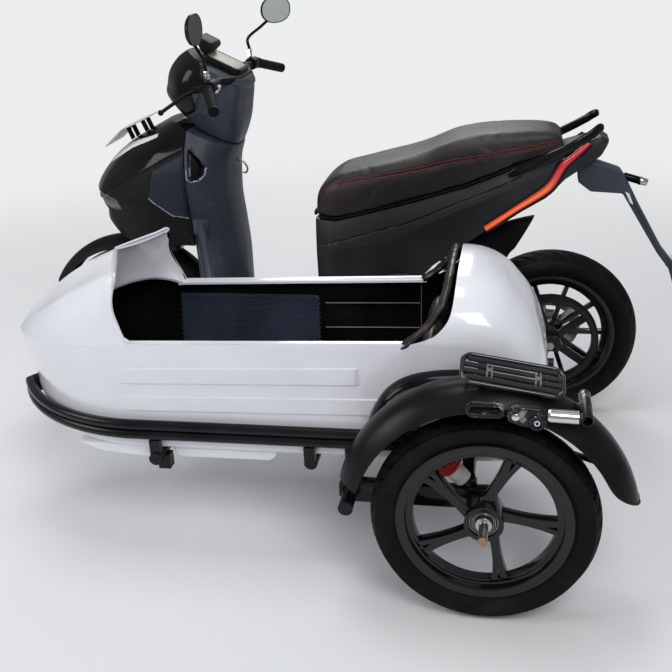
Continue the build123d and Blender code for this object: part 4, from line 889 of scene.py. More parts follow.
def ringThrough(points, count):
    # count + 1 evenly spaced places on a smooth open curve through plan points
    fine = []
    for i in range(len(points) - 1):
        before, start = points[max(i - 1, 0)], points[i]
        end, after = points[i + 1], points[min(i + 2, len(points) - 1)]
        span = hypot(end[0] - start[0], end[1] - start[1]) or 1
        spanBefore = hypot(start[0] - before[0], start[1] - before[1]) or span
        spanAfter = hypot(after[0] - end[0], after[1] - end[1]) or span
        for k in range(12):
            t = k / 12
            spot = []
            for axis in (0, 1):
                slopeIn = (end[axis] - before[axis]) / (span + spanBefore) * span
                slopeOut = (after[axis] - start[axis]) / (span + spanAfter) * span
                spot.append(
                    (2 * t ** 3 - 3 * t ** 2 + 1) * start[axis] + (t ** 3 - 2 * t ** 2 + t) * slopeIn
                    + (3 * t ** 2 - 2 * t ** 3) * end[axis] + (t ** 3 - t ** 2) * slopeOut
                )
            fine.append(tuple(spot))
    fine.append(points[-1])
    runs = [0]
    for a, b in zip(fine, fine[1:]):
        runs.append(runs[-1] + hypot(b[0] - a[0], b[1] - a[1]))
    ring, k = [], 0
    for i in range(count + 1):
        goal = runs[-1] * i / count
        while k < len(runs) - 2 and runs[k + 1] < goal:
            k += 1
        t = (goal - runs[k]) / ((runs[k + 1] - runs[k]) or 1)
        ring.append(tuple(fine[k][axis] + (fine[k + 1][axis] - fine[k][axis]) * t for axis in (0, 1)))
    return ring


def lineDistance(x, z, route):
    # how far a place lies from a line of points
    best = 1e9
    for (x0, z0), (x1, z1) in zip(route, route[1:]):
        dx, dz = x1 - x0, z1 - z0
        t = clamp(((x - x0) * dx + (z - z0) * dz) / (dx * dx + dz * dz))
        best = min(best, hypot(x - x0 - t * dx, z - z0 - t * dz))
    return best


def inside(x, z, corners):
    # whether a place lies within an outline
    hit = False
    for (x0, z0), (x1, z1) in zip(corners, corners[1:] + corners[:1]):
        if (z0 > z) != (z1 > z) and x < (x1 - x0) * (z - z0) / (z1 - z0) + x0:
            hit = not hit
    return hit


def panelRise(x, z, corners, height, slope=4.0):
    # a raised panel: height inside the outline, falling to 0 over the slope
    if not inside(x, z, corners):
        return 0
    return height * min(lineDistance(x, z, corners + corners[:1]) / slope, 1)


def beadRise(x, z, route, height, wide, power=1):
    # a raised line, or a groove where the height is negative
    return height * max(0, 1 - lineDistance(x, z, route) / wide) ** power


def skinPiece(name, table, heights, count, relief, paint, finishes, lead=(), tail=(), place=at):
    # a closed skin through level outlines: (height, [(x, half width), ...]); relief stands out of it,
    # paint picks a finish for a place; lead and tail are flat runs at either end of the outline
    rows = []
    for z in heights:
        control = [
            tuple(curveThrough([(level, outline[i][axis]) for level, outline in table], z) for axis in (0, 1))
            for i in range(len(table[0][1]))
        ]
        ring = ringThrough(control, count)
        row = []
        for i, (x, half) in enumerate(ring):
            before, after = ring[max(i - 1, 0)], ring[min(i + 1, count)]
            along = Vector((after[0] - before[0], after[1] - before[1])).normalized()
            push = relief(x, z)
            sign = 1 if control[-1][0] < control[0][0] else -1
            y = max(half - along.x * sign * push, 0) if half > 0 else 0
            row.append((x + along.y * sign * push, y, z))
        row = [(control[0][0], control[0][1] * share, z) for share in lead] + row
        row += [(control[-1][0], control[-1][1] * share, z) for share in tail]
        rows.append(row)
    build = bmesh.new()
    for side in (1, -1):
        net = [[build.verts.new(place(x, side * y, z)) for x, y, z in row] for row in rows]
        for r in range(len(net) - 1):
            for c in range(len(net[0]) - 1):
                quad = [net[r][c], net[r][c + 1], net[r + 1][c + 1], net[r + 1][c]]
                face = build.faces.new(quad if side > 0 else quad[::-1])
                x, y, z = (sum(rows[p][q][axis] for p, q in ((r, c), (r + 1, c + 1))) / 2 for axis in range(3))
                face.material_index = paint(x, z)
    bmesh.ops.remove_doubles(build, verts=build.verts, dist=0.00003)
    edges = [edge for edge in build.edges if edge.is_boundary]
    if edges:
        bmesh.ops.holes_fill(build, edges=edges, sides=0)
    piece = pieceFrom(build, name)
    for finish in finishes:
        piece.data.materials.append(finish.material)
    return piece


def levelHeights(table, pitch):
    # even heights from a table's first level to its last
    low, high = table[0][0], table[-1][0]
    return [low + i * pitch for i in range(int((high - low) / pitch) + 1)]


# the steering axis: its lean, and where it meets the floor
rake, steerFoot = radians(26), 1420
steerAxis = Vector((-sin(rake), 0, cos(rake)))


def steerSpot(forward, y, along):
    # from the steering frame: ahead of the axis, to the side, along it from the floor
    return (
        steerFoot - along * sin(rake) + forward * cos(rake), y, along * cos(rake) + forward * sin(rake),
    )


def steered(forward, y, along):
    return at(*steerSpot(forward, y, along))


def cutAbove(piece, along):
    # take off what stands above a plane square to the steering axis, and close it
    only(piece)
    bpy.ops.object.mode_set(mode="EDIT")
    bpy.ops.mesh.select_all(action="SELECT")
    bpy.ops.mesh.bisect(
        plane_co=steered(0, 0, along), plane_no=steerAxis, use_fill=True, clear_outer=True,
    )
    bpy.ops.object.mode_set(mode="OBJECT")


# front apron: black gloss over a moulded dark cheek, matte black below
apron = {
    "levels": (
        (575, ((1349, 0), (1343, 42), (1300, 97), (1180, 150), (1060, 165))),
        (620, ((1384, 0), (1374, 40), (1326, 99), (1190, 160), (1060, 175))),
        (665, ((1389, 0), (1378, 38), (1340, 100), (1200, 170), (1060, 185))),
        (704, ((1411, 0), (1400, 34), (1370, 88), (1220, 172), (1060, 191))),
        (745, ((1400, 0), (1389, 34), (1350, 92), (1210, 170), (1060, 192))),
        (803, ((1353, 0), (1344, 34), (1310, 88), (1190, 163), (1060, 189))),
        (850, ((1298, 0), (1290, 34), (1262, 82), (1170, 146), (1060, 175))),
        (885, ((1240, 0), (1232, 32), (1210, 76), (1145, 126), (1060, 156))),
        (935, ((1142, 0), (1137, 30), (1122, 68), (1100, 95), (1060, 118))),
    ),
    "glossLine": ((1050, 872), (1110, 846), (1200, 800), (1300, 742), (1372, 700), (1420, 690)),
    "cheek": [(1183, 724), (1166, 806), (1064, 858), (1064, 668), (1112, 674)],
    "strip": [
        (1352, 800), (1330, 812), (1250, 858), (1162, 892), (1158, 902), (1252, 872), (1334, 830), (1362, 802),
    ],
    "lens": [(1290, 676), (1345, 672), (1420, 698), (1420, 722), (1372, 722), (1306, 706)],
    "rearJoint": ((1062, 600), (1062, 900)), "cutAt": 980,
}


def apronRelief(x, z):
    rise = 3.2 * clamp((z - spread(apron["glossLine"], x)) / 3.5)
    rise += panelRise(x, z, apron["cheek"], 4.5, 5.0)
    rise += panelRise(x, z, apron["strip"], 2.2, 2.5)
    rise += panelRise(x, z, apron["lens"], -4.0, 3.0)
    rise += beadRise(x, z, apron["rearJoint"], -3.0, 2.5)
    return rise


def apronPaint(x, z):
    # 0 gloss, 1 cheek, 2 matte, 3 light strip, 4 lens, 5 painted highlight along the cheek's edges
    if inside(x, z, apron["strip"]):
        return 3
    if inside(x, z, apron["lens"]):
        return 4
    if z > spread(apron["glossLine"], x):
        return 0
    cheek = apron["cheek"]
    # a pale band along the cheek's lower edges: a painted highlight
    if lineDistance(x, z, (cheek[0], cheek[4], cheek[3])) < 1.7:
        return 5
    return 1 if inside(x, z, cheek) else 2


apronSkin = skinPiece(
    "apronSkin", apron["levels"], levelHeights(apron["levels"], 2.6), 130, apronRelief, apronPaint,
    (blackGloss, cheekDark, matteBlack, whiteLens, lensSmoke, paintedEdgeHighlight), tail=(0.5, 0.0),
)
cutAbove(apronSkin, apron["cutAt"])
smooth(apronSkin, 30)
settle(apronSkin, "chassis", None, ("front_apron", "front_lamps"))

# leg shield: grey-blue, with a pocket towards either edge
shield = {
    "levels": (
        (345.3, ((1059.7, 150), (1010, 150), (965, 92), (942, 40), (938, 0))),
        (430, ((1059.7, 148), (1003, 145), (960, 84), (940, 36), (936, 0))),
        (520, ((1059.7, 150), (995, 142), (955, 80), (940, 36), (937, 0))),
        (610, ((1059.7, 162), (1002, 152), (962, 85), (948, 38), (945, 0))),
        (690, ((1059.7, 178), (1010, 165), (970, 90), (955, 40), (951, 0))),
        (750, ((1059.7, 188), (1012, 168), (969, 94), (954, 40), (950, 0))),
        (800, ((1059.7, 189), (1010, 166), (965, 94), (950, 40), (946, 0))),
        (870, ((1059.7, 166), (1000, 135), (950, 85), (930, 40), (926, 0))),
        (940, ((1059.7, 116), (990, 95), (950, 70), (924, 40), (921, 0))),
    ),
    "pocket": [(1050, 868), (1052, 786), (1044, 778), (1022, 782), (1009, 794), (1006, 812), (1020, 836)],
    "pocketDeep": -26, "lipTop": 812,
    "panel": [(1054, 664), (1054, 346), (1034, 346), (1026, 560), (1024, 640), (1036, 664)],
    "fold": ((1000, 700), (975, 360)), "latch": ((1046, 868), (1040, 842)), "cutAt": 980,
}


def shieldRelief(x, z):
    pocket = shield["pocket"]
    edge = lineDistance(x, z, pocket + pocket[:1])
    if inside(x, z, pocket):
        return shield["pocketDeep"] * min(edge / 5, 1)
    # a lip round the pocket, heavier below
    rise = 3.2 * max(0, 1 - abs(edge - 3) / 3) if z < shield["lipTop"] else 1.4 * max(0, 1 - abs(edge - 2) / 2)
    rise += panelRise(x, z, shield["panel"], 3.0, 3.5)
    rise += beadRise(x, z, shield["fold"], 5.0, 16, 2)
    rise += beadRise(x, z, shield["latch"], 3.5, 7)
    return rise


def shieldPaint(x, z):
    # 0 grey-blue, 1 the pocket's dark inside, 2 a painted highlight on its lower lip
    pocket = shield["pocket"]
    if inside(x, z, pocket):
        return 1
    # the lower lip is painted pale as a highlight
    return 2 if z < shield["lipTop"] and 1.2 < lineDistance(x, z, pocket) < 4.2 else 0


shieldSkin = skinPiece(
    "shieldSkin", shield["levels"], levelHeights(shield["levels"], 2.8), 84, shieldRelief, shieldPaint,
    (shieldGrey, matteBlack, paintedEdgeHighlight), lead=(0.0, 0.5),
)
cutAbove(shieldSkin, shield["cutAt"])
smooth(shieldSkin, 30)
settle(shieldSkin, "chassis", None, ("leg_shield",))

# handlebar cover, built square to the steering axis: gloss nacelle ahead, grey-blue behind
cover = {
    "levels": (
        (986, ((96, 0), (92, 34), (62, 78), (-30, 79), (-58, 46), (-63, 0))),
        (1018, ((184, 0), (178, 34), (122, 86), (-24, 90), (-56, 52), (-62, 0))),
        (1060, ((202, 0), (196, 38), (130, 104), (-20, 101), (-50, 58), (-57, 0))),
        (1100, ((207, 0), (200, 42), (132, 110), (-14, 106), (-38, 62), (-46, 0))),
        (1140, ((198, 0), (190, 42), (124, 108), (-4, 102), (-26, 60), (-34, 0))),
        (1166, ((182, 0), (175, 40), (112, 99), (6, 95), (-14, 57), (-21, 0))),
        (1172, ((176, 0), (169, 38), (106, 94), (12, 90), (-8, 54), (-14, 0))),
    ),
    "gloss": 92, "wave": 10, "brow": ((-60, 1150), (60, 1163), (95, 1163)),
    "recess": [(84, 1150), (84, 1040), (52, 1040), (40, 1100), (52, 1150)],
}


def glossEdge(z):
    return cover["gloss"] + cover["wave"] * sin(z / 13)


def coverRelief(x, z):
    edge = glossEdge(z)
    rise = 3.0 * clamp((x - edge) / 3)
    rise += beadRise(x, z, ((edge - 2, z), (edge - 1, z)), -2.5, 2.5)
    rise += beadRise(x, z, cover["brow"], 4.0, 9, 2)
    rise += panelRise(x, z, cover["recess"], -3.5, 4)
    return rise


def coverPaint(x, z):
    # 0 gloss in front, 1 grey-blue behind
    return 0 if x > glossEdge(z) else 1


coverSkin = skinPiece(
    "coverSkin", cover["levels"], levelHeights(cover["levels"], 2.4), 110, coverRelief, coverPaint,
    (blackGloss, shieldGrey, matteBlack), place=steered,
)
for face in coverSkin.data.polygons:
    # the flat top is matte
    if face.normal.dot(steerAxis) > 0.9:
        face.material_index = 2
smooth(coverSkin, 30)
settle(coverSkin, "steering", None, ("handlebar_cover",))
print("front bodywork ready")

# tail body: stations along X, each a rounded side with a shoulder line
tail = {
    "low": (
        (-142, 846), (-122, 812), (-25, 752), (25, 702), (196, 610), (305, 537), (346, 509), (430, 420), (476, 350),
        (482, 345.6), (700, 345.6),
    ),
    "high": ((-142, 858), (-120, 870), (121, 790), (251, 742), (455, 686), (631, 640), (700, 640)),
    "half": ((-142, 52), (0, 95), (150, 130), (262, 142), (400, 153), (520, 150), (640, 139), (700, 108)),
    "shoulder": ((-142, 856), (-73, 825), (22, 778), (251, 688), (487, 588), (700, 545)),
    "seam": ((700, 560), (560, 604), (430, 640), (300, 690), (200, 728), (100, 770)),
    "cheek": ((660, 352), (560, 470), (478, 560), (400, 520), (352, 520)),
    "corner": 14, "foot": 9,
    "bin": (((262, -90, 545), (470, 90, 900)), ((400, -90, 480), (600, 90, 900))), "binEdge": 10,
}


def tailShape(x):
    # lowest and highest level, half width and shoulder height of the section at x
    low, high, half = spread(tail["low"], x), spread(tail["high"], x), curveThrough(tail["half"], x)
    return low, high, half, clamp(spread(tail["shoulder"], x), low + 4, high - 3)


def flankOut(t):
    # share of the half width, from the foot (0) to the shoulder (1)
    return 0.90 + 0.10 * t ** 0.8


def brimOut(t):
    # and from the shoulder (0) to the top (1)
    return 1 - 0.085 * t - 0.05 * t ** 3


def tipNarrow(x):
    # the tail is drawn in over its last 12 mm
    return 0.72 + 0.28 * sqrt(clamp((x + 142) / 12))


def tailSection(x):
    low, high, half, line = tailShape(x)
    corner, foot = tail["corner"], tail["foot"]
    ring = [(0, low), (half * 0.45, low)]
    for i in range(7):
        turn = i / 6 * pi / 2
        ring.append((half * 0.90 - corner + corner * sin(turn), low + foot - foot * cos(turn)))
    for i in range(1, 46):
        t = i / 46
        z = low + foot + (line - low - foot) * t
        push = beadRise(x, z, tail["cheek"][:3], -2.0, 2.0) + beadRise(x, z, tail["cheek"][2:], -2.0, 2.0)
        ring.append((half * flankOut(t) + push, z))
    ring.append((half, line))
    for i in range(1, 21):
        z = line + (high - line) * (i / 20)
        ring.append((half * brimOut(i / 20) + beadRise(x, z, tail["seam"], -4.5, 2.6), z))
    ring += [(half * 0.8, high), (half * 0.4, high), (0, high)]
    return ring


stations = [-142, -141, -138, -132] + [-124 + i * 5.8 for i in range(142)] + [696, 699, 700]
rows = []
for x in stations:
    ends = min(1, tipNarrow(x), 0.93 + 0.07 * sqrt(clamp((700 - x) / 8)))
    rows.append([(x, y * ends, z) for y, z in tailSection(x)])
build = bmesh.new()
for side in (1, -1):
    net = [[build.verts.new(at(x, side * y, z)) for x, y, z in row] for row in rows]
    for a, b in zip(net, net[1:]):
        for c in range(len(a) - 1):
            build.faces.new((a[c], a[c + 1], b[c + 1], b[c]))
bmesh.ops.remove_doubles(build, verts=build.verts, dist=0.00003)
bmesh.ops.holes_fill(build, edges=[edge for edge in build.edges if edge.is_boundary], sides=0)
tailSkin = pieceFrom(build, "tailSkin")
smooth(tailSkin, 24)
settle(tailSkin, "chassis", tailGrey, ("tail_body",))
print("tail ready")

# what rides where
bodyOf = {node: body for body, nodes in frame["record"]["behaviour"]["bodies"].items() for node in nodes}


def standFor(piece, node, finish=None):
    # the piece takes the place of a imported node
    return settle(piece, bodyOf[node], finish, (node,))


def applied(name):
    # the new primitive, its place and turn put into its mesh
    piece = bpy.context.object
    piece.name = piece.data.name = name
    bpy.ops.object.transform_apply(location=True, rotation=True, scale=True)
    return piece


def rounded(piece, width, segments=3, angle=30):
    modify(
        piece, "BEVEL", width=width / 1000, segments=segments, limit_method="ANGLE",
        angle_limit=radians(angle), use_clamp_overlap=True,
    )
    smooth(piece, 40)
    return piece


def cubePiece(name, low, high):
    # a block between two corners in mm
    bpy.ops.object.select_all(action="DESELECT")
    middle = at(*[(a + b) / 2 for a, b in zip(low, high)])
    bpy.ops.mesh.primitive_cube_add(size=1, location=middle)
    bpy.context.object.scale = [(b - a) / 1000 for a, b in zip(low, high)]
    return applied(name)


def blockPiece(name, low, high, edge=2.0):
    return rounded(cubePiece(name, low, high), edge)


def rodPiece(name, start, end, radius, tip=None, sides=28, edge=0.8):
    # a round bar between two places, tapered where a tip radius is given
    bpy.ops.object.select_all(action="DESELECT")
    first, last = at(*start), at(*end)
    line = last - first
    bpy.ops.mesh.primitive_cone_add(
        vertices=sides, radius1=radius / 1000, radius2=(radius if tip is None else tip) / 1000,
        depth=line.length, location=(first + last) / 2, rotation=line.to_track_quat("Z", "Y").to_euler(),
    )
    return rounded(applied(name), edge, 2, 45)


def closeHoles(piece):
    # the open ends are filled and the faces turned out
    only(piece)
    bpy.ops.object.mode_set(mode="EDIT")
    bpy.ops.mesh.select_all(action="SELECT")
    bpy.ops.mesh.fill_holes(sides=0)
    bpy.ops.mesh.select_all(action="SELECT")
    bpy.ops.mesh.normals_make_consistent(inside=False)
    bpy.ops.object.mode_set(mode="OBJECT")
    return piece


def lathePiece(name, start, end, profile, sides=40):
    # turned about the line from start to end; the profile is (mm from start, radius)
    line = (Vector(end) - Vector(start)).normalized()
    side = line.orthogonal().normalized()
    other = line.cross(side)
    rows = []
    for far, radius in profile:
        middle = Vector(start) + line * far
        rows.append([
            tuple(middle + (side * cos(2 * pi * k / sides) + other * sin(2 * pi * k / sides)) * radius)
            for k in range(sides)
        ])
    piece = closeHoles(gridPiece(name, rows, closeU=True))
    smooth(piece, 38)
    return piece


def fineRoute(points, steps=8):
    # a smooth line through places in mm
    route = []
    for i in range(len(points) - 1):
        p0, p1, p2, p3 = (Vector(points[min(max(i + k, 0), len(points) - 1)]) for k in (-1, 0, 1, 2))
        for k in range(steps):
            t = k / steps
            route.append(
                (2 * p1 + (p2 - p0) * t + (2 * p0 - 5 * p1 + 4 * p2 - p3) * t * t
                 + (3 * p1 - p0 - 3 * p2 + p3) * t ** 3) * 0.5
            )
    route.append(Vector(points[-1]))
    return route


def ringSection(radius, sides=10):
    return [(radius * cos(2 * pi * k / sides), radius * sin(2 * pi * k / sides)) for k in range(sides)]


def sweepPiece(name, path, section, upward=(0, 0, 1), size=None, closed=False):
    # a section of (across, up) places carried along a path in mm; size(share) scales it
    spots = [Vector(spot) for spot in path]
    count = len(spots)
    rows = []
    for i, spot in enumerate(spots):
        after = spots[(i + 1) % count] if closed else spots[min(i + 1, count - 1)]
        before = spots[i - 1] if closed else spots[max(i - 1, 0)]
        ahead = (after - before).normalized()
        across = ahead.cross(Vector(upward)).normalized()
        up = across.cross(ahead)
        scale = size(i / (count - 1)) if size else 1
        rows.append([tuple(spot + across * (u * scale) + up * (v * scale)) for u, v in section])
    piece = gridPiece(name, rows, closeU=True, closeV=closed)
    if not closed:
        closeHoles(piece)
    smooth(piece, 40)
    return piece


def slabPiece(name, outline, low, high, edge=3.0, segments=3):
    # a side outline in X and Z, drawn out across the vehicle
    mesh = bpy.data.meshes.new(name)
    mesh.from_pydata([at(x, low, z) for x, z in outline], [], [list(range(len(outline)))])
    piece = bpy.data.objects.new(name, mesh)
    bpy.context.scene.collection.objects.link(piece)
    only(piece)
    bpy.ops.object.mode_set(mode="EDIT")
    bpy.ops.mesh.select_all(action="SELECT")
    bpy.ops.mesh.extrude_region_move(TRANSFORM_OT_translate={"value": (0, (high - low) / 1000, 0)})
    bpy.ops.mesh.select_all(action="SELECT")
    bpy.ops.mesh.normals_make_consistent(inside=False)
    bpy.ops.object.mode_set(mode="OBJECT")
    return rounded(piece, edge, segments, 20)


def joined(name, pieces):
    only(pieces[0])
    for piece in pieces[1:]:
        piece.select_set(True)
    bpy.ops.object.join()
    pieces[0].name = pieces[0].data.name = name
    return pieces[0]


def softened(node, finish, edge=1.2, segments=2):
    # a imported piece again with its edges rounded
    mesh = cadNodes[node].data.copy()
    piece = bpy.data.objects.new(node + "Soft", mesh)
    bpy.context.scene.collection.objects.link(piece)
    only(piece)
    bpy.ops.object.mode_set(mode="EDIT")
    bpy.ops.mesh.select_all(action="SELECT")
    bpy.ops.mesh.remove_doubles(threshold=0.00001)
    bpy.ops.mesh.dissolve_limited(angle_limit=radians(0.6))
    bpy.ops.object.mode_set(mode="OBJECT")
    rounded(piece, edge, segments, 32)
    return standFor(piece, node, finish)


def puffed(piece, cap, voxel=0.006, pressure=4.0):
    # swells a closed form as a stuffed cover does, no point moving further than the cap
    modify(piece, "REMESH", mode="VOXEL", voxel_size=voxel)
    rest = [vertex.co.copy() for vertex in piece.data.vertices]
    only(piece)
    cloth = piece.modifiers.new("cloth", "CLOTH")
    cloth.settings.use_pressure = True
    cloth.settings.uniform_pressure_force = pressure
    cloth.settings.effector_weights.gravity = 0
    cloth.settings.quality = 4
    for step in range(1, 21):
        bpy.context.scene.frame_set(step)
    bpy.ops.object.modifier_apply(modifier="cloth")
    bpy.context.scene.frame_set(1)
    for vertex, start in zip(piece.data.vertices, rest):
        move = vertex.co - start
        if move.length > cap:
            vertex.co = start + move * (cap / move.length)
    return piece


# the bin under the seat, cut out of the tail in two depths
for low, high in tail["bin"]:
    cutter = blockPiece("binCutter", low, high, tail["binEdge"])
    modify(tailSkin, "BOOLEAN", operation="DIFFERENCE", object=cutter, solver="EXACT")
    bpy.data.objects.remove(cutter)

makeStitches(makeSeat())
print("seat ready")

# wheels, arms and frame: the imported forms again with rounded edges
rustySteel = Finish("rustySteel", (0.45, 0.43, 0.40), 0.30, Metallic=1.0)
rust = rustySteel.step(rustySteel.axis(1) + rustySteel.noise(160.0, 4.0) * 0.02, 0.772, 0.782)
rustySteel.feed("Base Color", rustySteel.mix(rust, (0.46, 0.45, 0.43), (0.34, 0.15, 0.06)))
rustySteel.feed("Roughness", rust * 0.45 + 0.28)
rustySteel.feed("Metallic", 1 - rust * 0.75)
rustySteel.bump(rustySteel.noise(500.0, 3.0), 0.2, 0.0003)

wheelGloss = Finish(
    "wheelGloss", (0.004, 0.004, 0.005), 0.16, Coat_Weight=0.12, Coat_Roughness=0.05, Specular_IOR_Level=0.35
)
chips = wheelGloss.step(wheelGloss.noise(70.0, 6.0, 0.7), 0.70, 0.73)
wheelGloss.feed("Base Color", wheelGloss.mix(chips, (0.004, 0.004, 0.005), (0.45, 0.44, 0.42)))
wheelGloss.feed("Roughness", wheelGloss.noise(30.0, 4.0) * 0.12 + (0.11 + chips * 0.3))
wheelGloss.bump(wheelGloss.noise(180.0, 2.0), 0.03, 0.0004)

edgesOf = (
    # node, finish, edge in mm, segments
    ("side_rim", wheelGloss, 2.6, 3), ("side_spindle", rustySteel, 0.8, 2), ("front_rim", wheelGloss, 1.6, 2),
    ("rear_rim", wheelGloss, 1.6, 2), ("rear_pulley", frameBlack, 1.4, 2), ("front_mudguard", matteBlack, 1.4, 2),
    ("rear_swing_arm", frameBlack, 3.0, 2), ("side_swing_arm", frameBlack, 3.0, 2), ("fork", frameBlack, 2.0, 2),
    ("bar_controls", matteBlack, 2.2, 2), ("seat_base", matteBlack, 2.0, 2), ("scooter_frame", frameBlack, 1.5, 2),
    ("shock_mounts", frameBlack, 1.5, 2),
)
for node, finish, edge, segments in edgesOf:
    softened(node, finish, edge, segments)
hubRings = {"out": 1064.6, "rings": ((31.0, 1.4), (25.5, 1.2), (21.5, 1.0))}  # radius, bead
hubX, hubZ = tyres["side"]["hub"][0], tyres["side"]["radius"]
parts = []
for radius, bead in hubRings["rings"]:
    circle = [
        (hubX + radius * cos(2 * pi * k / 72), hubRings["out"], hubZ + radius * sin(2 * pi * k / 72))
        for k in range(72)
    ]
    parts.append(sweepPiece("hubRing", circle, ringSection(bead), (0, 1, 0), closed=True))
settle(joined("hubRings", parts), "side_wheel", steelBare, ())
print("wheels ready")

# fender over the side wheel: bowed strip, rolled lip, rounded tongue at its tail
fender = {
    "middle": (159, 1030, 254), "crown": 327.0, "half": 70.0, "drop": 44.0, "wall": 2.5, "lip": 3.2,
    "from": 15.0, "tipFrom": 152.0, "to": 170.0,  # in degrees from straight ahead, over the wheel
}


def fenderPoint(angle, across):
    # angle in degrees from straight ahead; across runs from -1, the hull's side, to 1
    half = fender["half"]
    if angle > fender["tipFrom"]:
        share = (angle - fender["tipFrom"]) / (fender["to"] - fender["tipFrom"])
        half *= sqrt(max(1 - (share * 0.985) ** 2.6, 0.0009))
    y = across * half
    drop = fender["drop"] * (abs(y) / fender["half"]) ** 2.4
    radius = fender["crown"] - drop
    turn = radians(angle)
    middle = fender["middle"]
    return (middle[0] + radius * cos(turn), middle[1] + y, middle[2] + radius * sin(turn))


angles = [fender["from"] + i * 2.0 for i in range(69)] + [fender["tipFrom"] + i * 0.9 for i in range(1, 21)]
rows = [[fenderPoint(angle, -1 + 2 * k / 28) for k in range(29)] for angle in angles]
shell = gridPiece("fenderShell", rows)
middle = at(*fender["middle"])
for face in shell.data.polygons:
    if face.normal.dot(face.center - middle) < 0:
        face.flip()
modify(shell, "SOLIDIFY", thickness=fender["wall"] / 1000, offset=-1, use_rim=True)
smooth(shell, 45)
lipRoute = [fenderPoint(angle, 1) for angle in angles] + [fenderPoint(angle, -1) for angle in reversed(angles)]
lip = sweepPiece("fenderLip", lipRoute, ringSection(fender["lip"], 8), (0, 1, 0.2), closed=True)
foot = [
    blockPiece("frontStay", (424, 925.5, 362.5), (452, 1000, 369.5), 2.0),
    rodPiece("rearStay", (14, 932.8, 369.5), (-128, 976, 347), 7),
    blockPiece("frontTab", (436, 955, 350), (441, 1010, 394), 1.5),
    rodPiece("stayBoltA", (438, 972, 360), (446, 972, 360), 7, sides=6),
    rodPiece("stayBoltB", (438, 996, 384), (446, 996, 384), 7, sides=6),
]
standFor(joined("fenderShell", [shell, lip] + foot), "fender", fenderBlack)

# liner of the hull's wheel arch: a broad glossy band out from the hull's side
arch = {
    "path": ((430, 384), (424, 412), (410, 448), (382, 490), (339, 521), (281, 537), (222, 542), (168, 542)),
    "root": 908.0,
    "section": (  # out from the hull, in towards the wheel
        (0, -1), (10, -2.5), (22, -1.5), (34, 3), (44, 10), (45, 14), (42, 14.5), (33, 7.5), (20, 3), (0, 3.5),
    ),
}
rows = []
for x, y, z in fineRoute([(x, 0, z) for x, z in arch["path"]], 8):
    toward = Vector((159 - x, 254 - z)).normalized()
    rows.append([
        (x + toward.x * inward, arch["root"] + out, z + toward.y * inward) for out, inward in arch["section"]
    ])
liner = closeHoles(gridPiece("archLiner", rows, closeU=True))
smooth(liner, 50)
standFor(liner, "arch_moulding", blackGloss)
print("fender ready")

# step plate: a tube rim, four long bars and two clips, on its tilted plane
step = {
    "origin": (107, 1040, 590), "tilt": -20.6, "dip": -12.0, "long": 218.0, "wide": 88.0, "corner": 27.0,
    "rims": ((1.0, 4.6, 4.4), (0.965, -1.2, 2.6)),  # share of the size, level, tube radius
    "bars": ((-27, 93), (-9.5, 101), (8, 101), (25.5, 94)), "ribs": (-62, 62), "clips": (48, -52),
    "bar": [(-5.6, -2.2), (5.6, -2.2), (6.4, 0), (5.4, 2.3), (2.4, 3.1), (-2.4, 3.1), (-5.4, 2.3), (-6.4, 0)],
    "clip": ((-17, 5), (-15, 8.2), (-3, 8.6), (9, 8.4), (15, 8), (17, 5)),
}
stepTurn = Matrix.Rotation(radians(step["tilt"]), 4, "X") @ Matrix.Rotation(radians(step["dip"]), 4, "Y")


def onStep(u, v, w):
    return tuple(Vector(step["origin"]) + stepTurn @ Vector((u, v, w)))


def roundRect(long, wide, corner, steps=8):
    # a rectangle's outline with round corners
    spots = []
    for cx, cy, start in (
        (long / 2 - corner, wide / 2 - corner, 0), (corner - long / 2, wide / 2 - corner, 90),
        (corner - long / 2, corner - wide / 2, 180), (long / 2 - corner, corner - wide / 2, 270),
    ):
        for k in range(steps + 1):
            turn = radians(start + 90 * k / steps)
            spots.append((cx + corner * cos(turn), cy + corner * sin(turn)))
    return spots


def flatBar(half, low, high):
    return [(-half, low), (half, low), (half, high), (-half, high)]


up = tuple(stepTurn @ Vector((0, 0, 1)))
parts = []
for size, level, radius in step["rims"]:
    rim = [
        onStep(u, v, level)
        for u, v in roundRect(step["long"] * size - 9, step["wide"] * size - 9, step["corner"] - 5)
    ]
    parts.append(sweepPiece("stepRim", rim, ringSection(radius, 12), up, closed=True))
for v, reach in step["bars"]:
    bar = [onStep(-reach + 2 * reach * k / 12, v, 4.0) for k in range(13)]
    parts.append(sweepPiece("stepBar", bar, step["bar"], up))
for u in step["ribs"]:
    rib = [onStep(u, -38 + 76 * k / 6, 0.2) for k in range(7)]
    parts.append(sweepPiece("stepRib", rib, flatBar(9, -1.4, 1.4), up))
standFor(joined("stepPlate", parts), "step_plate", stepBlack)
parts = []
for u in step["clips"]:
    for shift in (-5, 5):
        clip = [onStep(u + shift, v, w) for v, w in step["clip"]]
        parts.append(sweepPiece("stepClip", clip, flatBar(1.6, -0.7, 0.9), up))
    bridge = [onStep(u - 6, 1, 8.3), onStep(u + 6, 1, 8.3)]
    parts.append(sweepPiece("stepBridge", bridge, flatBar(5, -0.7, 1.0), up))
settle(joined("stepClips", parts), "chassis", steelBare, ())

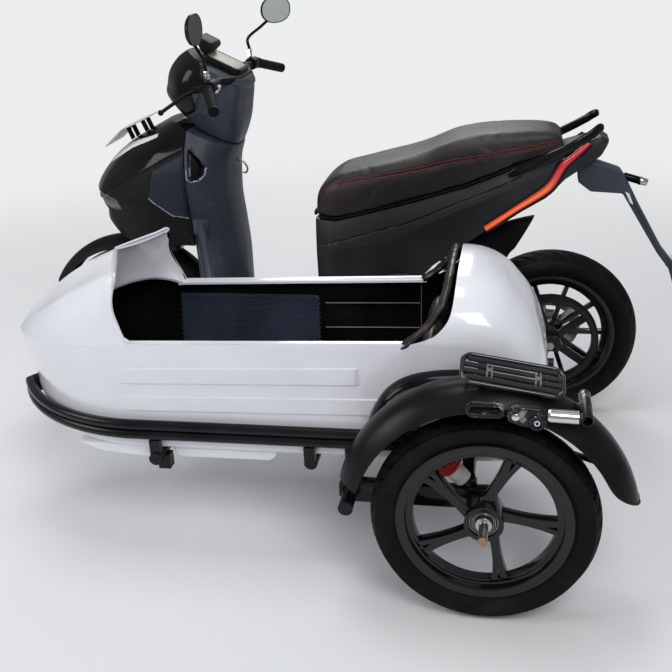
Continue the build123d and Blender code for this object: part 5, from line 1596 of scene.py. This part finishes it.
# its bracket: loop, clamp with a socket bolt, ribbed collar and the open cross tube
bracket = {
    "tube": (-41.0, 535.0), "loop": (158, 547, 84, 38), "y": 1112, "boss": (56, 530), "pin": (98, 541),
    "clamp": [
        (36, 524), (42, 517), (64, 515), (92, 521), (112, 528), (116, 540), (112, 558), (100, 564), (52, 560),
        (38, 552),
    ],
    "ring": ((0, 14.6), (1.9, 14.6), (2.2, 13.1), (3.8, 13.1)), "rings": 14,
}
tubeX, tubeZ = bracket["tube"]
armY, (bossX, bossZ), (pinX, pinZ) = bracket["y"], bracket["boss"], bracket["pin"]
parts = [lathePiece("crossTube", (tubeX, 1000, tubeZ), (tubeX, 1118, tubeZ), (
    (0, 0.01), (0, 12.4), (116.8, 12.4), (118, 11.8), (118, 10), (116, 9.4), (84, 9.2), (84, 0.01),
))]
run = [
    (tubeX, 1098, tubeZ), (tubeX + 8, 1108, tubeZ + 4), (-24, armY, 536), (0, armY, 541), (60, armY, 541),
    (112, armY, 544),
]
parts.append(sweepPiece("stepArm", fineRoute(run, 6), ringSection(8, 12)))
cx, cz, long, tall = bracket["loop"]
slot = [(cx + u, 1108, cz + v) for u, v in roundRect(long - 13, tall - 13, (tall - 13) / 2 - 0.5, 10)]
parts.append(sweepPiece("stepLoop", slot, ringSection(6.6, 12), (0, 1, 0), closed=True))
parts.append(slabPiece("stepClamp", bracket["clamp"], 1101, 1123, 4.5, 4))
parts.append(lathePiece("clampBoss", (bossX, armY, bossZ), (bossX, 1130, bossZ), (
    (0, 0.01), (0, 17), (14, 17), (16, 15.5), (16, 9.5), (15.4, 8.6), (9, 8.4), (9, 0.01),
)))
standFor(joined("stepBracket", parts), "step_bracket", wornSteel)
ribbed = [(2 + i * 4.0 + d, r) for i in range(bracket["rings"]) for d, r in bracket["ring"]]
ribbed = [(0, 0.01), (0, 12)] + ribbed + [(61, 12), (61, 0.01)]
parts = [lathePiece("ribCollar", (-26, armY, 539.4), (36, armY, 541.5), ribbed)]
parts.append(lathePiece("clampPin", (pinX, armY, pinZ), (pinX, 1126.5, pinZ), (
    (0, 0.01), (0, 7.5), (13, 7.5), (14.5, 5.5), (14.5, 0.01),
)))
parts.append(lathePiece("socketBolt", (bossX, 1118, bossZ), (bossX, 1126.5, bossZ), (
    (0, 0.01), (0, 7), (7.4, 7), (8.5, 6), (8.5, 3.6), (4, 3.6), (4, 0.01),
), 24))
settle(joined("bracketBright", parts), "chassis", chromeBright, ())
print("step ready")


def springPiece(name, start, end, radius, wire, turns):
    # a coil of wire round the line from start to end
    line = Vector(end) - Vector(start)
    along = line.normalized()
    side = along.orthogonal().normalized()
    other = along.cross(side)
    count = int(turns * 22)
    path = []
    for i in range(count + 1):
        turn = 2 * pi * turns * i / count
        path.append(Vector(start) + line * (i / count) + (side * cos(turn) + other * sin(turn)) * radius)
    return sweepPiece(name, path, ringSection(wire, 8), tuple(along))


# shocks: red springs at the back, the red and grey one beside the side wheel
shock = {
    "low": (150, 318), "high": (340, 548), "y": 112.0, "coil": 17.5, "wire": 3.6, "turns": 9.5,
    "springFrom": 66, "springTo": 240, "eye": ((0, 0.01), (0, 11), (1, 12), (13, 12), (14, 11), (14, 0.01)),
    "rod": (
        (0, 0.01), (0, 6.5), (52, 6.5), (52, 20), (56, 21), (61, 20), (61, 12), (150, 12), (152, 6), (244, 6),
        (244, 20), (248, 21), (253, 19), (256, 8), (298, 8), (298, 0.01),
    ),
}
springs, rods = [], []
for side in (-1, 1):
    low, high = (Vector((shock[end][0], side * shock["y"], shock[end][1])) for end in ("low", "high"))
    line = (high - low).normalized()
    springs.append(springPiece(
        "spring", low + line * shock["springFrom"], low + line * shock["springTo"], shock["coil"], shock["wire"],
        shock["turns"],
    ))
    rods.append(lathePiece("damper", low, high, shock["rod"]))
    for x, z in (shock["low"], shock["high"]):
        y = side * shock["y"]
        rods.append(lathePiece("shockEye", (x, y - 7, z), (x, y + 7, z), shock["eye"]))
standFor(joined("rearSprings", springs), "rear_shocks", redPaint)
settle(joined("rearDampers", rods), "chassis", frameBlack, ())
low, high = Vector((196, 965, 284)), Vector((307, 965, 406))
collar = lathePiece("shockCollar", low, high, (
    (52, 0.01), (52, 24), (54, 27), (58, 28.6), (61, 27), (62, 25), (63, 27), (67, 29), (71, 27.2), (72, 25),
    (73, 26.8), (77, 28.2), (80, 26), (82, 22), (82, 0.01),
), 48)
settle(collar, "chassis", redPaint, ())
grey = lathePiece("shockBody", low, high, (
    (14, 0.01), (14, 17), (16, 19.4), (24, 20.6), (26, 19.2), (28, 20.8), (46, 21.8), (52, 21), (52, 0.01),
), 16)
capTop = lathePiece("shockCap", low, high, ((82, 0.01), (82, 20), (86, 21.5), (92, 19), (96, 14), (98, 0.01)), 32)
rodDark = lathePiece("shockRod", low, high, (
    (0, 0.01), (0, 9), (14, 9), (15, 12), (96, 12), (98, 16), (150, 16), (153, 10), (165, 10), (165, 0.01),
), 24)
sideEye = ((0, 0.01), (0, 10.5), (1.5, 12.6), (22.5, 12.6), (24, 10.5), (24, 0.01))
eyes = [
    lathePiece("shockEnd", (x, 953, z), (x, 977, z), sideEye, 28) for x, z in ((190, 289), (307, 406))
]
standFor(joined("shockGrey", [grey, capTop]), "side_shock", shockGrey)
settle(joined("shockEnds", [rodDark] + eyes), "chassis", frameBlack, ())
print("shocks ready")

# cockpit: perforated side panels, wall ribs, stuffed cushion, backrest and rim trim
cockpit = {
    "panelX": (616, 1004), "panelZ": (403, 546), "columns": 58, "rows": 22, "inset": 6.8,
    "ribs": (451, 517), "ribX": (350, 612), "ribInset": 5.8, "seams": (420, 540, 660),
    "seatCap": 0.009, "backCap": 0.007,
}


def wallY(side, z, inset):
    # the hull's inner side at a height, for the left (1) or right (-1)
    return hull["middle"] + side * (spread(hull["side"], z) - inset)


def makePerforated():
    # a sheet with a pressed round hole in each cell, every other row half a cell on
    build = bmesh.new()
    (x0, x1), (z0, z1) = cockpit["panelX"], cockpit["panelZ"]
    pitchX, pitchZ = (x1 - x0) / cockpit["columns"], (z1 - z0) / cockpit["rows"]
    edge = [(-1, -1), (0, -1), (1, -1), (1, 0), (1, 1), (0, 1), (-1, 1), (-1, 0)]
    for side in (-1, 1):
        for j in range(cockpit["rows"]):
            for i in range(cockpit["columns"] - j % 2):
                cx, cz = x0 + (i + 0.5 + 0.5 * (j % 2)) * pitchX, z0 + (j + 0.5) * pitchZ
                rings = []
                for reach, lift in ((0, 0), (0.36, 1.0), (0.24, -0.6)):
                    ring = []
                    for k, (u, v) in enumerate(edge):
                        if reach:
                            turn = radians(225 + 45 * k)
                            x, z = cx + reach * pitchX * cos(turn), cz + reach * pitchX * sin(turn)
                        else:
                            x, z = cx + u * pitchX / 2, cz + v * pitchZ / 2
                        ring.append(build.verts.new(at(x, wallY(side, z, cockpit["inset"] + lift), z)))
                    rings.append(ring)
                for level, (a, b) in enumerate(zip(rings, rings[1:])):
                    for k in range(8):
                        face = build.faces.new((a[k], a[(k + 1) % 8], b[(k + 1) % 8], b[k]))
                        # the top row's raised hole rims are bare aluminium: a painted highlight where the light
                        # catches them
                        face.material_index = 1 if level and j == cockpit["rows"] - 1 else 0
    bmesh.ops.remove_doubles(build, verts=build.verts, dist=0.00002)
    piece = pieceFrom(build, "sidePanels")
    piece.data.materials.append(meshBlue.material)
    piece.data.materials.append(aluBare.material)
    return standFor(piece, "mesh_panel")


makePerforated()
parts = []
for side in (-1, 1):
    for z in cockpit["ribs"]:
        route = [
            (x, wallY(side, z + bandLift(x), cockpit["ribInset"]), z + bandLift(x))
            for x in range(*cockpit["ribX"], 12)
        ]
        parts.append(sweepPiece("wallRib", route, ringSection(1.5, 8)))
    seam = [(346, wallY(side, z, cockpit["ribInset"]), z) for z in range(440, 592, 10)]
    parts.append(sweepPiece("wallSeam", seam, ringSection(1.2, 8), (1, 0, 0)))
# the ribs and seam are grey, a painted highlight on the black wall
settle(joined("wallRibs", parts), "chassis", ribHighlightGrey, ())


def makePad(name, low, high, cap):
    # a rounded block, swollen as cloth above its flat underside
    piece = cubePiece(name, low, high)
    modify(piece, "BEVEL", width=0.014, segments=4)
    floorZ = min(vertex.co.z for vertex in piece.data.vertices)
    puffed(piece, cap)
    for vertex in piece.data.vertices:
        vertex.co.z = max(vertex.co.z, floorZ)
    return piece


def seamCut(piece, places, deep=0.0022, wide=0.006):
    # sewn channels across the pad at the given X places
    for vertex in piece.data.vertices:
        for place in places:
            near = abs(vertex.co.x - place)
            if near < wide:
                vertex.co.z -= deep * (1 - near / wide) if vertex.normal.z > 0.4 else 0


cushion = makePad("cockpitCushion", (306, 541, 305.4), (772, 855, 366), cockpit["seatCap"])
modify(cushion, "SUBSURF", levels=1, render_levels=1)
seamCut(cushion, [at(x, 0, 0).x for x in cockpit["seams"]])
smooth(cushion, 70)
standFor(cushion, "cockpit_seat", leatherWorn)
back = slabPiece("cockpitBack", [(340, 380), (306, 380), (270, 566), (288, 584), (304, 580)], 546, 850, 9.0)
puffed(back, cockpit["backCap"])
modify(back, "SUBSURF", levels=1, render_levels=1)
smooth(back, 70)
standFor(back, "backrest", leatherWorn)
trimShape = {
    "half": [
        (352, 215, 588), (336, 213, 599), (322, 207, 610), (296, 200, 632), (273, 188, 658), (259, 170, 684),
        (252, 116, 709), (251, 58, 716), (251, 0, 718),
    ],
    "wide": 15.5, "tall": 8.0, "crown": 1.15,
}
route = [(x, hull["middle"] + y, z) for x, y, z in trimShape["half"]]
route += [(x, hull["middle"] - y, z) for x, y, z in reversed(trimShape["half"][:-1])]
band = []
for k in range(20):
    u, v = cos(2 * pi * k / 20), sin(2 * pi * k / 20)
    band.append((trimShape["wide"] * u, trimShape["tall"] * v * (1.0 if v < 0 else trimShape["crown"])))
trim = sweepPiece(
    "rimTrim", fineRoute(route, 7), band, (1, 0, 0.5),
    lambda share: 0.55 + 0.45 * min(share * 16, (1 - share) * 16, 1),
)
for vertex in trim.data.vertices:
    # soft puckers between the tacks
    spot = vertex.co
    vertex.co = spot + vertex.normal * (0.0009 * sin(spot.z * 210 + spot.y * 140) + 0.0007 * sin(spot.y * 260))
standFor(trim, "cockpit_trim", leatherWorn)
print("cockpit ready")

# belly pans: two white trays under the hull, edges turned up
pans = {
    "front": [(966, 299), (970, 272), (978, 265), (1060, 270), (1112, 277), (1150, 292), (1166, 299)],
    "rear": [(650, 299), (663, 277), (676, 268), (902, 267), (914, 276), (922, 299)],
}
standFor(
    joined("bellyPans", [slabPiece(key + "Pan", outline, 512, 884, 9.0, 4) for key, outline in pans.items()]),
    "belly_pans", whiteGloss,
)

# tail fittings: light band, grab rails, plate holder, rear mudguard
tailLamp = {
    "low": ((192, 614), (104, 671), (14, 727), (-25, 790), (-62, 824), (-92, 851)),
    "high": ((200, 630), (112, 687), (28, 744), (-8, 802), (-46, 832), (-78, 858)),
    "bulge": 3.0,
    "shares": (  # up the band, past both edges for the dark margin
        -0.42, -0.06, 0.0, 0.04, 0.14, 0.28, 0.42, 0.58, 0.72, 0.86, 0.96, 1.0, 1.06, 1.42,
    ),
    "glow": (5, 6, 7),  # which strips glow brighter: a painted highlight line along the lens
}


def tailSide(x, z):
    # how far the tail's flank stands out at a place
    low, high, half, line = tailShape(x)
    if z <= line:
        out = flankOut(clamp((z - low - tail["foot"]) / max(line - low - tail["foot"], 1)))
    else:
        out = brimOut(min((z - line) / (high - line), 1))
    return half * out * min(1, tipNarrow(x))


lows = fineRoute([(x, 0, z) for x, z in tailLamp["low"]], 12)
highs = fineRoute([(x, 0, z) for x, z in tailLamp["high"]], 12)
lamps = []
for side in (-1, 1):
    rows, shares = [], tailLamp["shares"]
    for lowSpot, highSpot in zip(lows, highs):
        row = []
        for share in shares:
            spot = lowSpot.lerp(highSpot, share)
            rise = 1.0 if share in (shares[1], shares[-2]) else 0.4
            if 0 <= share <= 1:
                rise = 0.2 + tailLamp["bulge"] * max(sin(pi * share), 0) ** 0.6
            row.append((spot.x, side * (tailSide(spot.x, spot.z) + rise), spot.z))
        rows.append(row)
    lamp = gridPiece("tailLamp", rows)
    for face in lamp.data.polygons:
        if face.normal.y * side < 0:
            face.flip()
    columns = len(shares) - 1
    for index, face in enumerate(lamp.data.polygons):
        column = index % columns
        margin = column < 2 or column > columns - 3
        # the middle columns take the brighter glow, a painted highlight
        face.material_index = 1 if margin else (2 if column in tailLamp["glow"] else 0)
    for finish in (tailLens, blackGloss, tailHighlightGlow):
        lamp.data.materials.append(finish.material)
    modify(lamp, "SOLIDIFY", thickness=0.0014, offset=-1, use_rim=True)
    smooth(lamp, 40)
    lamps.append(lamp)
standFor(joined("tailLamps", lamps), "tail_lights")
rail = {
    "path": [
        (132, 122, 778), (100, 127, 796), (40, 131, 823), (-30, 131, 855), (-84, 119, 886), (-108, 108, 903),
        (-119, 101, 905),
    ],
    "blade": [(-4, -10), (3.5, -11), (6, -5), (6, 6), (3.5, 11), (-2, 13), (-6, 7), (-6, -5)],
}
rails = []
for side in (-1, 1):
    route = fineRoute([(x, side * y, z) for x, y, z in rail["path"]], 7)
    rails.append(sweepPiece(
        "grabBlade", route, rail["blade"], (0, 0, 1),
        lambda share: min(0.45 + share * 4, 1, 0.62 + (1 - share) * 3),
    ))
standFor(joined("grabBlades", rails), "grab_rails", blackGloss)
holder = {
    "arm": [
        (-60, 772), (-100, 796), (-180, 768), (-200, 738), (-238, 664), (-312, 532), (-352, 482), (-398, 330),
        (-384, 328), (-336, 470), (-298, 520), (-190, 698), (-100, 704), (-64, 732),
    ],
    "ridge": [(-214, 690), (-226, 684), (-312, 534), (-338, 480), (-326, 482), (-300, 532)],
    "reflector": [(-196, 706), (-208, 700), (-222, 668), (-212, 672)],
    "stub": (
        (0, 0.01), (0, 11), (44, 11), (46, 12.2), (52, 12.2), (53, 10.6), (66, 10.6), (69, 9), (69, 6), (66, 5),
        (66, 0.01),
    ),
}
body = slabPiece("plateArm", holder["arm"], -25, 25, 6.0, 4)
ridge = slabPiece("armRidge", holder["ridge"], 24, 30, 2.5)
standFor(joined("plateArm", [body, ridge]), "plate_holder", shieldGrey)
glass = slabPiece("sideReflector", holder["reflector"], 24, 30.5, 1.6)
settle(glass, "chassis", whiteLens, ())
stub = lathePiece("rearStub", (-192, 0, 744.6), (-261, 0, 724), holder["stub"])
settle(stub, "chassis", stubSteel, ())
hugger = {
    "radius": 322, "turns": (10, 76), "slant": 0.8, "slantFrom": 60, "root": 331,
    "section": [
        (-52, -20), (-54, -18), (-53, 0), (-44, 7), (-20, 10), (0, 11), (20, 10), (44, 7), (53, 0), (54, -18),
        (52, -20), (50, -2), (40, 4), (0, 7.5), (-40, 4), (-50, -2),
    ],
}
axleZ = tyres["rear"]["radius"]
route = []
for k in range(37):
    turn = radians(hugger["turns"][0] + (hugger["turns"][1] - hugger["turns"][0]) * k / 36)
    route.append((hugger["radius"] * cos(turn), 0, axleZ + hugger["radius"] * sin(turn)))
guard = sweepPiece("rearGuard", route, hugger["section"], (0, 1, 0))
for vertex in guard.data.vertices:
    # the rear end is cut on a slant, its crown reaching furthest back
    spot = vertex.co - at(0, 0, axleZ)
    share = clamp((atan2(spot.z, spot.x) - radians(hugger["slantFrom"])) / radians(16))
    far = Vector((spot.x, 0, spot.z)).length * 1000 - hugger["root"]
    vertex.co.x -= share * far * hugger["slant"] / 1000
standFor(guard, "rear_hugger", matteBlack)
print("tail fittings ready")

# handlebar fittings: (ahead of the steering axis, to the left, along it), mirrored for the right
bars = {
    "inner": (32.9, 262, 1155.5), "tip": (-28.7, 387, 1145.5), "ball": (109.3, 352, 1068.2),
    "root": (40.4, 226, 1159.6), "knee": (77.4, 240, 1219.5), "ballRadius": 8, "stem": 4.6,
    "nut": (
        (0, 0.01), (0, 7.6), (9, 7.6), (10, 6), (11, 6), (12, 8.2), (21, 8.2), (23, 6.5), (23, 0.01),
    ),
    "mirrors": (  # side, middle of the head, stem's end, turn in degrees
        (1, (115.6, 300, 1293.2), (114.0, 300, 1271.7), 0),
        (-1, (50.1, -340, 1316.3), (48.5, -340, 1294.8), 35),
    ),
    "mirrorHalf": (62, 41),
    "housing": (  # back to front: how far out, share of the size
        (-9, 0.003), (-8.8, 0.3), (-7.6, 0.58), (-4.5, 0.82), (0, 0.95), (5, 1.0), (8, 1.0), (9, 0.98), (9, 0.95),
        (7.4, 0.94), (7.2, 0.003),
    ),
    "face": ((7.5, 0.938), (8.2, 0.93), (8.4, 0.5), (8.5, 0.003)),
}


def barSpot(key, side):
    forward, y, along = bars[key]
    return steerSpot(forward, side * y, along)


def mirrorPiece(name, centre, turn, profile):
    # a soft-cornered oval head, turned about the upright
    lean = radians(turn)
    wide, normal = Vector((sin(lean), cos(lean), 0)), Vector((-cos(lean), sin(lean), 0))
    halfWide, halfTall = bars["mirrorHalf"]
    rows = []
    for off, share in profile:
        row = []
        for k in range(48):
            u, v = cos(2 * pi * k / 48), sin(2 * pi * k / 48)
            row.append(tuple(
                centre + wide * (halfWide * share * abs(u) ** 0.86 * (1 if u > 0 else -1))
                + Vector((0, 0, halfTall * share * abs(v) ** 0.9 * (1 if v > 0 else -1))) + normal * off
            ))
        rows.append(row)
    piece = gridPiece(name, rows, closeU=True)
    smooth(piece, 40)
    return piece


ribs = [(14, 0.01), (14, 16.6), (17, 16.6), (18, 14.8)]
for k in range(19):
    ribs += [(far + k * 6.2, radius) for far, radius in ((20, 14.6), (23.6, 14.6), (24.1, 13.7), (25.7, 13.7))]
ribs += [(139, 14.6), (144, 14.6), (146, 14.6), (146, 0.01)]
size = bars["ballRadius"]
ballProfile = [(size - size * cos(pi * k / 10), max(size * sin(pi * k / 10), 0.01)) for k in range(11)]
grips, nuts, levers, stems, housings, glasses = [], [], [], [], [], []
for side, head, end, turn in bars["mirrors"]:
    grips.append(lathePiece("grip", barSpot("inner", side), barSpot("tip", side), ribs, 36))
    root, knee = Vector(barSpot("root", side)), Vector(barSpot("knee", side))
    stop = steerSpot(*end)
    lift = (knee - root).normalized()
    nuts.append(lathePiece("stemNut", root + lift * 16, root + lift * 40, bars["nut"], 6))
    path = [root + lift * 10, root + lift * 40, knee, knee.lerp(Vector(stop), 0.5), stop]
    stems.append(sweepPiece("mirrorStem", fineRoute(path, 7), ringSection(bars["stem"], 12), (1, 0.2, 0)))
    ball = barSpot("ball", side)
    levers.append(lathePiece("leverBall", Vector(ball) - Vector((0, side * 7, 0)), ball, ballProfile, 20))
    centre = Vector(steerSpot(*head))
    housings.append(mirrorPiece("mirrorHousing", centre, turn, bars["housing"]))
    glasses.append(mirrorPiece("mirrorFace", centre, turn, bars["face"]))
standFor(joined("grips", grips), "grips", rubberBlack)
settle(joined("stemNuts", nuts), "steering", chromeBright, ())
settle(joined("leverBalls", levers), "steering", matteBlack, ())
standFor(joined("mirrorHousings", housings + stems), "mirrors", blackGloss)
# the two mirror glasses differ only by a painted reflection, dark on the left and pale on the right
settle(glasses[0], "steering", mirrorDarkReflection, ())
settle(glasses[1], "steering", mirrorBrightReflection, ())
dash = {
    "middle": 67, "long": 122, "wide": 116, "corner": 18,
    "console": (  # along the steering axis, share of the size
        (1172.4, 1), (1180, 1.0), (1185, 0.995), (1187.5, 0.97), (1188.2, 0.93), (1188.2, 0.86), (1186.6, 0.845),
        (1186.4, 0.5),
    ),
    "screen": ((1186.5, 0.84), (1187.8, 0.83), (1188.5, 0.6), (1188.8, 0.3), (1188.9, 0.01)),
    "hood": [
        (107.0, 1211.7), (115.4, 1222.1), (162.8, 1223.5), (163.4, 1210.9), (129.6, 1185.1), (115.3, 1189.9),
    ],
    "keys": ((14.6, 214, 1156), (13.2, 232, 1152), (14.0, 222, 1166)), "keyHalf": (4, 5, 3.5),
}


def dashPiece(name, levels, angle):
    outline = roundRect(dash["long"], dash["wide"], dash["corner"])
    rows = [
        [steerSpot(dash["middle"] + u * share, v * share, along) for u, v in outline] for along, share in levels
    ]
    piece = closeHoles(gridPiece(name, rows, closeU=True))
    smooth(piece, angle)
    return piece


console = dashPiece("dashConsole", dash["console"], 40)
hood = slabPiece("dashHood", [steerSpot(forward, 0, along)[::2] for forward, along in dash["hood"]], -48, 48, 4.0)
standFor(joined("dashConsole", [console, hood]), "dash", matteBlack)
settle(dashPiece("dashScreen", dash["screen"], 50), "steering", dashGlass, ())
keys = []
for key in dash["keys"]:
    low, high = (
        [v + way * half for v, half in zip(steerSpot(*key), dash["keyHalf"])] for way in (-1, 1)
    )
    keys.append(blockPiece("switchKey", low, high, 1.4))
settle(joined("switchKeys", keys), "steering", whiteLens, ())
softened("handlebar", matteBlack, 0.8)
softened("number_plates", plateCream, 0.7)
softened("plate_standoffs", matteBlack, 1.2)
softened("upper_struts", shieldGrey, 1.6)

# small parts on the leg shield: a bag hook and three bolts
hook = fineRoute([(948, 4, 800), (936, 4, 796), (926, 4, 784), (922, 4, 770), (928, 4, 760), (938, 4, 762)], 6)
hookPiece = sweepPiece("bagHook", hook, ringSection(3.0, 10), (0, 1, 0))
bolts = [lathePiece("hookBolt", (950, 4, 800), (941, 4, 800), ((0, 0.01), (0, 8), (6, 8), (8, 6), (8, 0.01)), 24)]
boltHead = ((0, 0.01), (0, 5.5), (6, 5.5), (8, 4), (8, 2.6), (5, 2.4), (5, 0.01))
for x, z in ((1050, 654), (1046, 420)):
    y = spread(((350, 147), (520, 143), (654, 163)), z) + 2
    bolts.append(lathePiece("shieldBolt", (x, y, z), (x - 2, y + 8, z), boltHead, 20))
settle(joined("shieldHook", [hookPiece] + bolts), "chassis", steelBare, ())
print("handlebar fittings ready")
